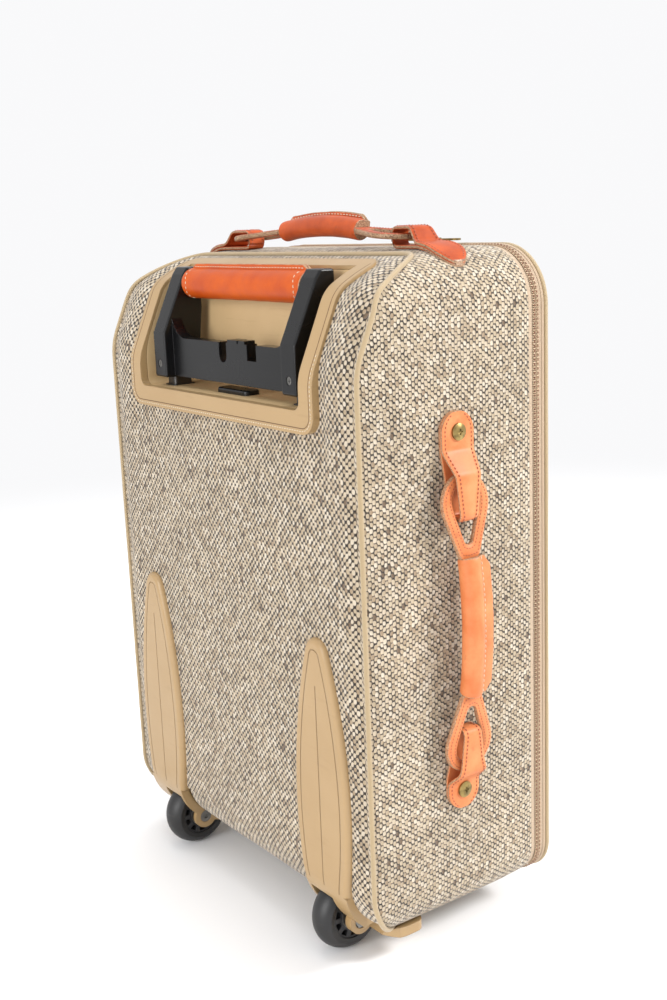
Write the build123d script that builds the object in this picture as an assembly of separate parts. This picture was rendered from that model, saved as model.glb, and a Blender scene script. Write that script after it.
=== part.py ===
from build123d import *

import os
from math import atan2, cos, degrees, radians, sin

# Softside upright suitcase with a telescoping pull handle, two wheels and two leather carry handles.
# Millimetres. The case is modelled about its own centre plane (x = 0), its back seam (y = 0, the lid
# towards -y) and the floor (z = 0). Every node is then shifted so that the origin is the middle of the
# whole object's footprint on the floor.
ORIGIN_X = 13.0
ORIGIN_Y = 101.0

# Case shell
CASE_HALF_WIDTH = 178.0
CASE_BOTTOM = 28.0
CASE_TOP = 545.0
TOP_CORNER = 45.0
BOTTOM_CORNER = 30.0
OUTLINE_LIFT = 0.05
WALL = 5.0
HEEL_RADIUS = 45.0
HEEL_END_Y = -48.0

# Back-top curve: an upright wall leans forward, bends at a shoulder and flattens into the top
LEAN = 24.0
LEAN_RADIUS = 60.0
LEAN_LENGTH = 34.0
SHOULDER_TURN = 36.0
SHOULDER_RADIUS = 25.0
CROWN_TURN = 90.0 - LEAN - SHOULDER_TURN
CROWN_RADIUS = 171.4
BEND_RISE = (
    LEAN_RADIUS * sin(radians(LEAN))
    + LEAN_LENGTH * cos(radians(LEAN))
    + SHOULDER_RADIUS * (cos(radians(CROWN_TURN)) - sin(radians(LEAN)))
    + CROWN_RADIUS * (1 - cos(radians(CROWN_TURN)))
)
BEND_Z = CASE_TOP - BEND_RISE
TOP_SEAM_Y = -82.0

# Zipper between the case and the lid, and the lid itself
ZIP_Y = -172.3
ZIP_GAP = 1.2
COIL_WIDTH = 2.1
TAPE_WIDTH = 2.7
COIL_PROUD = 0.3
TAPE_SINK = 1.0
TAPE_DEPTH = 3.5
GUSSET_FRONT_Y = ZIP_Y + ZIP_GAP / 2 + COIL_WIDTH + TAPE_WIDTH
LID_BACK_Y = ZIP_Y - ZIP_GAP / 2 - COIL_WIDTH - TAPE_WIDTH
LID_SEAM_Y = LID_BACK_Y - 3.5
LID_FRONT_Y = LID_SEAM_Y - 3.8
LID_AXIS_X = 180.0
LID_AXIS_Y = -176.0
HINGE_BOTTOM = 92.0
HINGE_TOP = 484.0

# Front pocket
POCKET_HALF_WIDTH = 148.0
POCKET_BOTTOM = 72.0
POCKET_TOP = 478.0
POCKET_DEPTH = 22.0
POCKET_WALL = 3.0
POCKET_ZIP_Z = 436.0

# Piping
PIPING_RADIUS = 2.4

# Recess for the pull handle
BEZEL_HALF_WIDTH = 135.0
BEZEL_BOTTOM = 418.4
BEZEL_TOP_Y = -62.0
BEZEL_CORNER = 14.0
BEZEL_PROUD = 3.0
BEZEL_SILL_Y = 7.0
OPENING_HALF_WIDTH = 118.0
OPENING_TOP_Y = -50.0
FLOOR_Z = 435.4
TUB_WALL = 2.5
TUB_DEEP_Y = -44.0

# Pull handle
LEG_INNER = 86.0
LEG_OUTER = 105.0
LEG_BOTTOM = 443.0
LEG_BACK_Y = -0.5
TUBE_X = 96.0
TUBE_Y = -19.0
STAGES = {"inner": (13.0, 17.0, 1.2), "middle": (16.4, 20.4, 1.3), "outer": (20.0, 24.0, 1.4)}
OUTER_TUBE_BOTTOM = 78.0
GRIP_Y = -32.0
GRIP_Z = 520.5
GRIP_RADIUS = 12.5
CORE_RADIUS = 8.0
CORE_END_RADIUS = 5.5
LEG_SCREW_Z = 454.6

# Release button and locks
BUTTON_X = 3.0
BUTTON_LENGTH = 45.0
BUTTON_WIDTH = 15.0
BUTTON_TOP = FLOOR_Z + 4.0
BUTTON_TRAVEL = 3.0
LOCK_Z = 422.0
LOCK_BAR = (8.0, 4.0)

# Wheels and their housings
WHEEL_X = 116.8
WHEEL_Y = -17.5
WHEEL_RADIUS = 30.0
WHEEL_WIDTH = 24.0
HUB_RADIUS = 19.0
BEARING_RADIUS = 11.0
BEARING_WIDTH = 7.0
AXLE_RADIUS = 4.0
RUNNING_CLEARANCE = 0.05
WELL_RADIUS = 33.5
WELL_HALF_WIDTH = 14.0
WELL_WALL = 3.0
SKID_X = 124.0
SKID_TIP_Z = 266.0
SKID_PROUD = 8.0
SKID_JOIN_Z = 63.0
SKID_RIM = 4.5
LOBE_RADIUS = 11.0

# Carry handles
LEATHER = 2.6
TAB_HALF_WIDTH = 15.5
NECK_HALF_WIDTH = 7.8
HANDLE_REACH = 116.0
LOOP_HALF_WIDTH = 22.5
LOOP_HOLE_RADIUS = 13.0
LOOP_BAR = 8.0
LOOP_THICKNESS = 4.2
PIVOT_HEIGHT = 8.7
GRIP_END_HEIGHT = 14.5
GRIP_MIDDLE_HEIGHT = 18.5
CARRY_GRIP_HALF = 53.0
CARRY_GRIP_RADIUS = 8.5
TOP_HANDLE_Y = -107.0
SIDE_HANDLE_Y = -87.0
SIDE_HANDLE_Z = 276.0
SIDE_HANDLE_DROP = -6.0
FIXING_SHANK = 2.2

# Leather tabs: (end, fold, end of the gap at its foot, end of the gap at its roof, fixing) from the middle
TOP_TAB = (166.0, 98.0, 130.0, 121.0, 140.0)
SIDE_TAB_HIGH = (155.0, 74.0, 124.0, 107.0, 139.5)
SIDE_TAB_LOW = (155.0, 86.0, 130.8, 120.0, 139.5)

parts = {}


def block(x0, x1, y0, y1, z0, z1):
    """A box from its two corners."""
    return Pos((x0 + x1) / 2, (y0 + y1) / 2, (z0 + z1) / 2) * Box(abs(x1 - x0), abs(y1 - y0), abs(z1 - z0))


def from_side(face, half_width):
    """A YZ face thickened equally both ways along X."""
    return extrude(Plane.YZ * face, amount=half_width, both=True)


def from_front(face, y_back, y_front):
    """An XZ face thickened from y_back forward to y_front."""
    return extrude(Plane.XZ.offset(-y_back) * face, amount=y_back - y_front)


def rod_x(x0, x1, y, z, radius):
    """A round bar along X."""
    return Pos((x0 + x1) / 2, y, z) * Rot(0, 90, 0) * Cylinder(radius, abs(x1 - x0))


def rod_y(y0, y1, x, z, radius):
    """A round bar along Y."""
    return Pos(x, (y0 + y1) / 2, z) * Rot(90, 0, 0) * Cylinder(radius, abs(y1 - y0))


def both_sides(shape):
    """A piece and its mirror image across the case's centre plane, as one group."""
    return Compound(list(shape.solids()) + list(mirror(shape, Plane.YZ).solids()))


def side_face(grow=0.0):
    """The case seen from its side, every wall moved out by grow."""
    bottom = CASE_BOTTOM - grow
    base = Line((GUSSET_FRONT_Y, bottom), (-HEEL_RADIUS, bottom))
    heel = JernArc(base @ 1, base % 1, HEEL_RADIUS + grow, 90)
    wall = Line(heel @ 1, (grow, BEND_Z))
    lean = JernArc(wall @ 1, wall % 1, LEAN_RADIUS + grow, LEAN)
    slope = Line(lean @ 1, (lean @ 1) + (lean % 1) * LEAN_LENGTH)
    shoulder = JernArc(slope @ 1, slope % 1, SHOULDER_RADIUS + grow, SHOULDER_TURN)
    crown = JernArc(shoulder @ 1, shoulder % 1, CROWN_RADIUS + grow, CROWN_TURN)
    top = Line(crown @ 1, (GUSSET_FRONT_Y, (crown @ 1).Y))
    front = Line(top @ 1, base @ 0)
    return make_face([base, heel, wall, lean, slope, shoulder, crown, top, front])


def front_face(grow=0.0):
    """The case seen from the front: a rectangle with larger corners at the top."""
    height = CASE_TOP - CASE_BOTTOM + 2 * grow
    face = Pos(0, (CASE_TOP + CASE_BOTTOM) / 2) * Rectangle(2 * (CASE_HALF_WIDTH + grow), height)
    rows = face.vertices().group_by(Axis.Y)
    face = fillet(rows[-1], TOP_CORNER + grow)
    low = face.vertices().group_by(Axis.Y)[0]
    return fillet(low, BOTTOM_CORNER + grow)


def ring(grow_out, grow_in, y_back, y_front):
    """A band round the case's outline, between two offsets of it."""
    return from_front(front_face(grow_out) - front_face(grow_in), y_back, y_front)


def piping_path():
    """The back seam: under the heel, up one side, over the shoulder, across the top and down again."""
    half = [
        (150, -47, 27.6),
        (163, -29, 32),
        (174, -11, 43),
        (178, 0, 66),
        (178, 0, BEND_Z),
        (178, -14, 500),
        (174, -30, 522),
        (160, -62, 536.4),
        (132, TOP_SEAM_Y, 542.4),
    ]
    points = half + [(-x, y, z) for x, y, z in reversed(half)]
    radii = [12, 14, 30, 60, 40, 30, 40, 30]
    return FilletPolyline(*points, radius=radii + list(reversed(radii)))


def tube_along(path, radius):
    """A round bar swept along a path."""
    return sweep(Plane(origin=path @ 0, z_dir=path % 0) * Circle(radius), path=path)


def wheel_well(radius, half_width, x=WHEEL_X):
    """The space of one wheel: round above the axle and open below and behind."""
    arch = rod_x(x - half_width, x + half_width, WHEEL_Y, WHEEL_RADIUS, radius)
    below = block(x - half_width, x + half_width, WHEEL_Y - radius, WHEEL_Y + radius, -5, WHEEL_RADIUS)
    return arch + below


def axle_lobe():
    """The bosses on both sides of the right-hand wheel that carry its axle."""
    inner = rod_x(98.5, WHEEL_X - WELL_HALF_WIDTH, WHEEL_Y, WHEEL_RADIUS, LOBE_RADIUS)
    return inner + rod_x(WHEEL_X + WELL_HALF_WIDTH, 138, WHEEL_Y, WHEEL_RADIUS, LOBE_RADIUS)


def tub_section(grow):
    """The recess seen from the side: floor, and a back wall that leans forward."""
    return make_face(
        Polyline(
            (20, FLOOR_Z - grow),
            (TUB_DEEP_Y - grow, FLOOR_Z - grow),
            (OPENING_TOP_Y - grow, CASE_TOP - 10),
            (OPENING_TOP_Y - grow, CASE_TOP + 20),
            (20, CASE_TOP + 20),
            close=True,
        )
    )


def tube(x, stage, z0, z1):
    """One rectangular tube of the pull handle, standing at x."""
    width, depth, wall = STAGES[stage]
    outside = RectangleRounded(width, depth, 2.2)
    inside = RectangleRounded(width - 2 * wall, depth - 2 * wall, 1.2)
    return Pos(x, TUBE_Y, z0) * extrude(outside - inside, z1 - z0)


def make_shell():
    """Back panel, four gusset lengths and the piping of the back seam."""
    piping = tube_along(piping_path(), PIPING_RADIUS)
    groove = tube_along(piping_path(), PIPING_RADIUS + 0.2)
    # the outline stands a hair higher than the profile, so that no two curved walls meet at a tangent
    outline = Pos(0, 0, OUTLINE_LIFT) * from_front(front_face(), 1, GUSSET_FRONT_Y)
    whole = from_side(side_face(), CASE_HALF_WIDTH + 1) & outline
    inner = from_side(side_face(-WALL), CASE_HALF_WIDTH + 2)
    panel = whole - inner
    panel -= block(-200, 200, TOP_SEAM_Y, -300, 400, 600)
    panel -= block(-200, 200, HEEL_END_Y, -300, 0, 100)
    hoop = whole - from_front(front_face(-WALL), 2, GUSSET_FRONT_Y - 2)
    hoop -= panel
    recess = from_side(tub_section(TUB_WALL), OPENING_HALF_WIDTH + TUB_WALL)
    wells = wheel_well(WELL_RADIUS + WELL_WALL, WELL_HALF_WIDTH + WELL_WALL)
    wells = both_sides(wells + axle_lobe())
    parts["back_panel"] = panel - recess - wells - groove
    hoop -= wells
    hoop -= groove
    corner_z = CASE_TOP - TOP_CORNER
    foot_z = CASE_BOTTOM + BOTTOM_CORNER
    parts["gusset_top"] = hoop & block(-200, 200, 10, -200, corner_z, 600)
    parts["gusset_bottom"] = hoop & block(-200, 200, 10, -200, 0, foot_z)
    parts["gusset_handle_side"] = hoop & block(-200, 0, 10, -200, foot_z, corner_z)
    parts["gusset_hinge_side"] = hoop & block(0, 200, 10, -200, foot_z, corner_z)
    parts["back_piping"] = piping


def make_zipper_and_lid():
    """Zipper tracks, fabric hinge, lid panel with its piping, and the front pocket."""
    hinge_gap = block(150, 200, -150, -200, HINGE_BOTTOM - 2, HINGE_TOP + 2)
    edge = ZIP_Y + ZIP_GAP / 2
    track = ring(COIL_PROUD, -TAPE_DEPTH, edge + COIL_WIDTH, edge)
    track += ring(-TAPE_SINK, -TAPE_DEPTH, GUSSET_FRONT_Y, edge + COIL_WIDTH)
    parts["zipper_track_case"] = track - hinge_gap
    edge = ZIP_Y - ZIP_GAP / 2
    track = ring(COIL_PROUD, -TAPE_DEPTH, edge, edge - COIL_WIDTH)
    track += ring(-TAPE_SINK, -TAPE_DEPTH, edge - COIL_WIDTH, LID_BACK_Y)
    parts["zipper_track_lid"] = track - hinge_gap
    x = CASE_HALF_WIDTH
    parts["lid_hinge_strip"] = block(x - 1.6, x, GUSSET_FRONT_Y, LID_BACK_Y + 2.6, HINGE_BOTTOM, HINGE_TOP)
    parts["lid_gusset"] = ring(0, -WALL, LID_BACK_Y, LID_SEAM_Y)
    parts["lid_piping"] = ring(1.4, -2.4, LID_SEAM_Y, LID_FRONT_Y)
    parts["lid_panel"] = from_front(front_face(-2.4), LID_SEAM_Y, LID_FRONT_Y)
    make_pocket()


def make_pocket():
    """A flat box-shaped pocket on the lid, with a zipper across its front."""
    height = POCKET_TOP - POCKET_BOTTOM
    middle = (POCKET_TOP + POCKET_BOTTOM) / 2
    front = LID_FRONT_Y - POCKET_DEPTH
    outline = Pos(0, middle) * RectangleRounded(2 * POCKET_HALF_WIDTH, height, 26)
    shell = from_front(outline, LID_FRONT_Y, front)
    shell = fillet(shell.faces().sort_by(Axis.Y)[0].edges(), 8)
    inset = 2 * POCKET_WALL
    inside = Pos(0, middle) * RectangleRounded(2 * POCKET_HALF_WIDTH - inset, height - inset, 23)
    shell -= from_front(inside, LID_FRONT_Y, front + POCKET_WALL)
    parts["front_pocket"] = shell
    strip = 118.0
    tape = block(-strip, strip, front, front - 1.0, POCKET_ZIP_Z - 8, POCKET_ZIP_Z + 8)
    coil = block(-strip + 4, strip - 4, front - 1.0, front - 2.4, POCKET_ZIP_Z - 2.2, POCKET_ZIP_Z + 2.2)
    parts["pocket_zipper"] = tape + coil


def zip_slider(x):
    """Slider on the top stretch: two plates, the web between the coils, and ears with the pull's pin."""
    top = CASE_TOP + COIL_PROUD
    low = CASE_TOP - TAPE_DEPTH
    body = block(x - 6, x + 6, ZIP_Y - 4, ZIP_Y + 4, top + 0.3, top + 2.0)
    body += block(x - 5, x + 5, ZIP_Y - 4, ZIP_Y + 4, low - 1.3, low - 0.2)
    body += block(x - 2, x + 2, ZIP_Y - 0.4, ZIP_Y + 0.4, low - 0.3, top + 0.4)
    for side in (-1, 1):
        body += block(x - 1.6, x + 1.6, ZIP_Y + side * 2.5, ZIP_Y + side * 3.7, top + 1.9, top + 5.4)
    return body + rod_y(ZIP_Y - 3, ZIP_Y + 3, x, top + 4.0, 0.8)


def zip_pull(x, toward):
    """Pull tab: a knuckle round the slider's pin and a flat tab lying along the zipper."""
    z = CASE_TOP + COIL_PROUD + 4.0
    outline = Pos(x + toward * 13.5, ZIP_Y) * SlotOverall(27, 8)
    tab = Pos(0, 0, z - 0.8) * extrude(outline, 1.6)
    hole = Pos(x + toward * 21, ZIP_Y, z) * Cylinder(1.8, 4)
    ears = block(x - 3.4, x + 3.4, ZIP_Y - 5, ZIP_Y - 2.2, z - 3, z + 3)
    ears += block(x - 3.4, x + 3.4, ZIP_Y + 2.2, ZIP_Y + 5, z - 3, z + 3)
    knuckle = rod_y(ZIP_Y - 2.1, ZIP_Y + 2.1, x, z, 1.5)
    return tab + knuckle - ears - hole - rod_y(ZIP_Y - 5, ZIP_Y + 5, x, z, 0.8 + RUNNING_CLEARANCE)


def make_sliders():
    """Two sliders that meet on the top, each with its pull, and the pocket's slider."""
    parts["zip_slider_left"] = zip_slider(-67)
    parts["zip_pull_left"] = zip_pull(-67, -1)
    parts["zip_slider_right"] = zip_slider(-53)
    parts["zip_pull_right"] = zip_pull(-53, 1)
    face = LID_FRONT_Y - POCKET_DEPTH - 2.4
    body = block(100, 112, face - 0.3, face - 2.0, POCKET_ZIP_Z - 4, POCKET_ZIP_Z + 4)
    body += block(101, 111, face - 1.9, face - 3.4, POCKET_ZIP_Z - 1.5, POCKET_ZIP_Z + 1.5)
    tab = from_front(Pos(106, POCKET_ZIP_Z - 14) * SlotOverall(26, 8, rotation=90), face - 3.4, face - 5.0)
    parts["pocket_slider"] = body + tab


def make_recess():
    """The moulded frame round the recess, and the tub with its floor."""
    lean = radians(LEAN)
    foot_y = -LEAN_RADIUS * (1 - cos(lean)) + BEZEL_PROUD * cos(lean)
    foot_z = BEND_Z + LEAN_RADIUS * sin(lean) + BEZEL_PROUD * sin(lean)
    knee_z = foot_z - (BEZEL_SILL_Y - foot_y) * cos(lean) / sin(lean)
    sill = [(-12, 400), (BEZEL_SILL_Y, 400), (BEZEL_SILL_Y, knee_z), (foot_y, foot_z), (-12, foot_z)]
    sill = make_face(Polyline(*sill, close=True))
    knee = sill.vertices().sort_by_distance((BEZEL_SILL_Y, knee_z))[0]
    skin = from_side(side_face(BEZEL_PROUD), BEZEL_HALF_WIDTH) + from_side(fillet(knee, 40), BEZEL_HALF_WIDTH)
    frame_outline = Pos(0, BEZEL_BOTTOM + 100) * Rectangle(2 * BEZEL_HALF_WIDTH, 200)
    frame_outline = fillet(frame_outline.vertices().group_by(Axis.Y)[0], BEZEL_CORNER)
    plan = Pos(0, BEZEL_TOP_Y + 60) * Rectangle(2 * BEZEL_HALF_WIDTH, 120)
    plan = fillet(plan.vertices().group_by(Axis.Y)[0], BEZEL_CORNER)
    bezel = skin & from_front(frame_outline, 20, -100)
    bezel &= Pos(0, 0, 400) * extrude(plan, 200)
    bezel -= from_side(side_face(), 200)
    opening = Pos(0, FLOOR_Z + 100) * Rectangle(2 * OPENING_HALF_WIDTH, 200)
    opening = fillet(opening.vertices().group_by(Axis.Y)[0], 7)
    inside = from_side(tub_section(0), OPENING_HALF_WIDTH) & from_front(opening, 20, -100)
    parts["handle_bezel"] = bezel - inside
    outline = Pos(0, FLOOR_Z - TUB_WALL + 100) * Rectangle(2 * (OPENING_HALF_WIDTH + TUB_WALL), 200)
    outline = fillet(outline.vertices().group_by(Axis.Y)[0], 7 + TUB_WALL)
    tub = from_side(tub_section(TUB_WALL), OPENING_HALF_WIDTH + TUB_WALL) & from_front(outline, 20, -100)
    tub = (tub & from_side(side_face(), 200)) - inside
    width, depth, _ = STAGES["middle"]
    slot = Pos(0, 0, FLOOR_Z) * Box(width + 1, depth + 1, 20)
    for side in (-1, 1):
        tub -= Pos(side * TUBE_X, TUBE_Y, 0) * slot
    window = RectangleRounded(BUTTON_LENGTH + 0.6, BUTTON_WIDTH + 0.6, 5.3)
    parts["handle_tub"] = tub - Pos(BUTTON_X, TUBE_Y, FLOOR_Z - 5) * extrude(window, 10)


def leg_face():
    """One leg of the pull handle seen from its side: upright below, leaning forward above."""
    return make_face(
        Polyline(
            (LEG_BACK_Y, LEG_BOTTOM),
            (LEG_BACK_Y, 480.5),
            (-22.5, 528),
            (-27, 534),
            (-39.6, 534),
            (-39.6, 500),
            (-36, 470),
            (-36, LEG_BOTTOM),
            close=True,
        )
    )


def make_yoke():
    """Legs and bridge in one moulding, the core bar, the leather grip and the leg screws."""
    leg = extrude(Plane.YZ.offset(LEG_INNER) * leg_face(), LEG_OUTER - LEG_INNER)
    leg = fillet(leg.edges().filter_by(Axis.X), 2.5)
    sides = leg.faces().filter_by(Axis.X)
    leg = fillet([e for f in sides for e in f.edges()], 1.6)
    width, depth, _ = STAGES["inner"]
    leg -= Pos(TUBE_X, TUBE_Y, LEG_BOTTOM + 10) * Box(width, depth, 30)
    leg -= rod_y(LEG_BACK_Y + 1, -20, TUBE_X, LEG_SCREW_Z, 1.6)
    leg -= rod_y(LEG_BACK_Y + 1, LEG_BACK_Y - 2.2, TUBE_X, LEG_SCREW_Z, 3.2)
    leg -= rod_x(80, 92, GRIP_Y, GRIP_Z, CORE_END_RADIUS)
    flare = ThreePointArc((66, 476.5), (79, 481), (LEG_INNER + 0.5, 497))
    base = Polyline((LEG_INNER + 0.5, 497), (LEG_INNER + 0.5, 444), (0, 444), (0, 476.5), (66, 476.5))
    bridge = make_face([flare, *base.edges()])
    bridge = from_front(bridge, -9, -19)
    bridge = bridge + mirror(bridge, Plane.YZ)
    bridge -= block(-41, -28, 0, -30, 464, 480)
    bridge -= block(2, 13, 0, -30, 466, 480)
    bridge -= rod_y(0, -30, 7.5, 466, 5.4)
    bridge += block(-25, -16, -9, -19, 476, 479)
    bridge += block(-14, 0, -9, -19, 476, 479)
    legs = leg + mirror(leg, Plane.YZ)
    yoke = legs + bridge
    for side in (-1, 1):
        yoke -= Pos(side * TUBE_X, TUBE_Y, LEG_BOTTOM + 10) * Box(width, depth, 30)
    parts["pull_handle_yoke"] = yoke
    core = rod_x(-92, 92, GRIP_Y, GRIP_Z, CORE_END_RADIUS)
    core += rod_x(0.2 - LEG_INNER, LEG_INNER - 0.2, GRIP_Y, GRIP_Z, CORE_RADIUS)
    parts["pull_grip_core"] = core
    grip = rod_x(-85.6, 85.6, GRIP_Y, GRIP_Z, GRIP_RADIUS)
    flange = block(-84, 84, GRIP_Y - 3.5, GRIP_Y + 1.5, GRIP_Z + 5, GRIP_Z + GRIP_RADIUS + 4)
    parts["pull_grip_leather"] = grip + flange - core
    screw = rod_y(LEG_BACK_Y - 0.6, LEG_BACK_Y - 2.2, TUBE_X, LEG_SCREW_Z, 3.1)
    screw += rod_y(LEG_BACK_Y - 2, TUBE_Y + depth / 2 + 0.05, TUBE_X, LEG_SCREW_Z, 1.55)
    cross = block(TUBE_X - 2, TUBE_X + 2, 0, LEG_BACK_Y - 1.6, LEG_SCREW_Z - 0.5, LEG_SCREW_Z + 0.5)
    cross += block(TUBE_X - 0.5, TUBE_X + 0.5, 0, LEG_BACK_Y - 1.6, LEG_SCREW_Z - 2, LEG_SCREW_Z + 2)
    parts["pull_handle_screws"] = both_sides(screw - cross)


def make_tubes():
    """Three nested tubes on each side, their end brackets and the board that covers them inside."""
    width, depth, _ = STAGES["outer"]
    outer = tube(TUBE_X, "outer", OUTER_TUBE_BOTTOM, FLOOR_Z - TUB_WALL)
    outer -= block(TUBE_X - 12, TUBE_X - 6, TUBE_Y - 4.4, TUBE_Y + 4.4, LOCK_Z - 2.4, LOCK_Z + 2.4)
    parts["trolley_outer_tubes"] = both_sides(outer)
    parts["trolley_middle_tubes"] = both_sides(tube(TUBE_X, "middle", OUTER_TUBE_BOTTOM + 6, FLOOR_Z + 0.8))
    inner = tube(TUBE_X, "inner", OUTER_TUBE_BOTTOM + 12, LEG_BOTTOM + 24.9)
    parts["trolley_inner_tubes"] = both_sides(inner)
    shoe = block(TUBE_X - 15, TUBE_X + 15, TUBE_Y - 15, -WALL, OUTER_TUBE_BOTTOM - 4, OUTER_TUBE_BOTTOM + 18)
    shoe = fillet(shoe.edges().filter_by(Axis.Z), 3)
    shoe -= Pos(TUBE_X, TUBE_Y, OUTER_TUBE_BOTTOM + 20) * Box(width, depth, 40)
    parts["trolley_foot_brackets"] = both_sides(shoe)
    board_y = TUBE_Y - 15
    board = block(-140, 140, board_y, board_y - 3, 74, FLOOR_Z - TUB_WALL - 3)
    parts["trolley_cover_board"] = fillet(board.edges().filter_by(Axis.Y), 12)


def make_lock():
    """Release button, its housing and spring, and the two bars that lock the tubes."""
    reach = BUTTON_LENGTH / 2 + 4
    top = FLOOR_Z - TUB_WALL
    housing = block(BUTTON_X - reach, BUTTON_X + reach, TUBE_Y - 12, TUBE_Y + 12, LOCK_Z - 9, top)
    well = RectangleRounded(BUTTON_LENGTH + 0.6, BUTTON_WIDTH + 0.6, 5.3)
    housing -= Pos(BUTTON_X, TUBE_Y, 427) * extrude(well, 20)
    housing -= Pos(BUTTON_X, TUBE_Y, 425) * Cylinder(6, 18)
    housing -= block(-60, 60, TUBE_Y - 4.4, TUBE_Y + 4.4, LOCK_Z - 2.4, LOCK_Z + 2.4)
    parts["lock_housing"] = housing
    cap = Pos(0, 0, 430.5) * extrude(RectangleRounded(BUTTON_LENGTH, BUTTON_WIDTH, 5), BUTTON_TOP - 430.5)
    cap = fillet(cap.faces().sort_by(Axis.Z)[-1].edges(), 1.8)
    cap += Pos(0, 0, 428.5) * Cylinder(3, 5)
    parts["release_button"] = Pos(BUTTON_X, TUBE_Y, 0) * cap
    coil = Helix(pitch=2.0, height=8.0, radius=4.2)
    wire = Plane(origin=coil @ 0, z_dir=coil % 0) * Circle(0.45)
    spring = sweep(wire, path=coil, is_frenet=True)
    parts["button_spring"] = Pos(BUTTON_X, TUBE_Y, 416.9) * spring
    tip = TUBE_X - STAGES["middle"][0] / 2 - 0.5
    across, tall = LOCK_BAR
    for name, side in (("lock_bar_left", -1), ("lock_bar_right", 1)):
        start = BUTTON_X + side * 11
        length = abs(side * tip - start)
        parts[name] = Pos((start + side * tip) / 2, TUBE_Y, LOCK_Z) * Box(length, across, tall)


def skid_outline(inset=0.0):
    """The shield above the wheel, seen from the back about its own centre line, and evenly inset."""
    foot = (28 - inset, SKID_JOIN_Z)
    widest = (33.7 - inset, 140)
    tip_side = (13 - 0.8 * inset, SKID_TIP_Z - 10 - 0.4 * inset)
    flank = ThreePointArc(foot, (32.4 - inset, 95), widest)
    taper = TangentArc(widest, tip_side, tangent=flank % 1)
    tip = TangentArc(tip_side, (-tip_side[0], tip_side[1]), tangent=taper % 1)
    mirrored = [mirror(edge, Plane.YZ) for edge in (taper, flank)]
    return make_face([flank, taper, tip, *mirrored, Line((-foot[0], foot[1]), foot)])


def skid_grooves():
    """Thin decorative lines sunk into the shield: one round its rim and one up its middle."""
    rim = skid_outline(8.5) - skid_outline(9.4)
    middle = Pos(0, (SKID_JOIN_Z + 228) / 2) * Rectangle(0.9, 228 - SKID_JOIN_Z)
    skin = from_side(side_face(SKID_PROUD + 1), 200) - from_side(side_face(SKID_PROUD - 0.7), 200)
    lines = from_front(Pos(SKID_X, 0) * (rim + middle), 20, -20)
    return lines & skin & block(0, 200, 20, -60, SKID_JOIN_Z + 1, 300)


def make_skid():
    """The right-hand moulding: shield, wrap under the heel, wheel well and axle lobes."""
    band = from_side(side_face(SKID_PROUD), 200) - from_side(side_face(), 200)
    shield = band & from_front(Pos(SKID_X, 0) * skid_outline(), 20, -20)
    rim = [e for f in shield.faces() if f.center().Y > SKID_PROUD - 0.5 for e in f.edges()]
    join = [e for e in rim if abs(e.center().X - SKID_X) < 5 and e.center().Z < SKID_TIP_Z - 20]
    shield = fillet([e for e in rim if e not in join], SKID_RIM) - skid_grooves()
    plan = make_face(
        Polyline((98.5, 15), (152, 15), (152, -12), (165, -34), (165, -60), (98.5, -60), close=True)
    )
    plan = fillet(plan.vertices().group_by(Axis.Y)[0], 8)
    wrap = band & (Pos(0, 0, 0) * extrude(plan, SKID_JOIN_Z))
    well = wheel_well(WELL_RADIUS + WELL_WALL, WELL_HALF_WIDTH + WELL_WALL)
    well &= from_side(side_face(), 200)
    skid = shield + wrap + well + axle_lobe()
    skid -= wheel_well(WELL_RADIUS, WELL_HALF_WIDTH)
    skid -= rod_x(90, 150, WHEEL_Y, WHEEL_RADIUS, AXLE_RADIUS)
    skid -= rod_x(90, 100.5, WHEEL_Y, WHEEL_RADIUS, 5.8)
    skid -= rod_x(134.5, 180, WHEEL_Y, WHEEL_RADIUS, 6.3)
    return skid - tube_along(piping_path(), PIPING_RADIUS + 0.2)


def make_wheel():
    """The right-hand wheel: tyre, spoked hub and its pair of bearings."""
    half = WHEEL_WIDTH / 2
    shoulder = WHEEL_RADIUS - 5
    rim = Line((-half + 1, HUB_RADIUS), (half - 1, HUB_RADIUS))
    wall_a = Line(rim @ 1, (half, shoulder - 2))
    crown = ThreePointArc((half, shoulder - 2), (0, WHEEL_RADIUS), (-half, shoulder - 2))
    wall_b = Line(crown @ 1, rim @ 0)
    section = make_face([rim, wall_a, crown, wall_b])
    tyre = revolve(Plane.XY * section, Axis.X)
    hub = rod_x(-half + 2, half - 2, 0, 0, HUB_RADIUS) - rod_x(-half, half, 0, 0, BEARING_RADIUS)
    slot = make_face(Polyline((-1.9, 12.6), (1.9, 12.6), (3.4, 17.2), (-3.4, 17.2), close=True))
    slot = extrude(Plane.YZ * fillet(slot.vertices(), 0.8), 20, both=True)
    slot -= block(-3, 3, -30, 30, -30, 30)
    for turn in range(10):
        hub -= Rot(36 * turn, 0, 0) * slot
    bearing = rod_x(half - 2 - BEARING_WIDTH, half - 2, 0, 0, BEARING_RADIUS)
    bearing -= rod_x(-half, half, 0, 0, AXLE_RADIUS + RUNNING_CLEARANCE)
    place = Pos(WHEEL_X, WHEEL_Y, WHEEL_RADIUS)
    return place * tyre, place * hub, place * both_sides(bearing)


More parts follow.
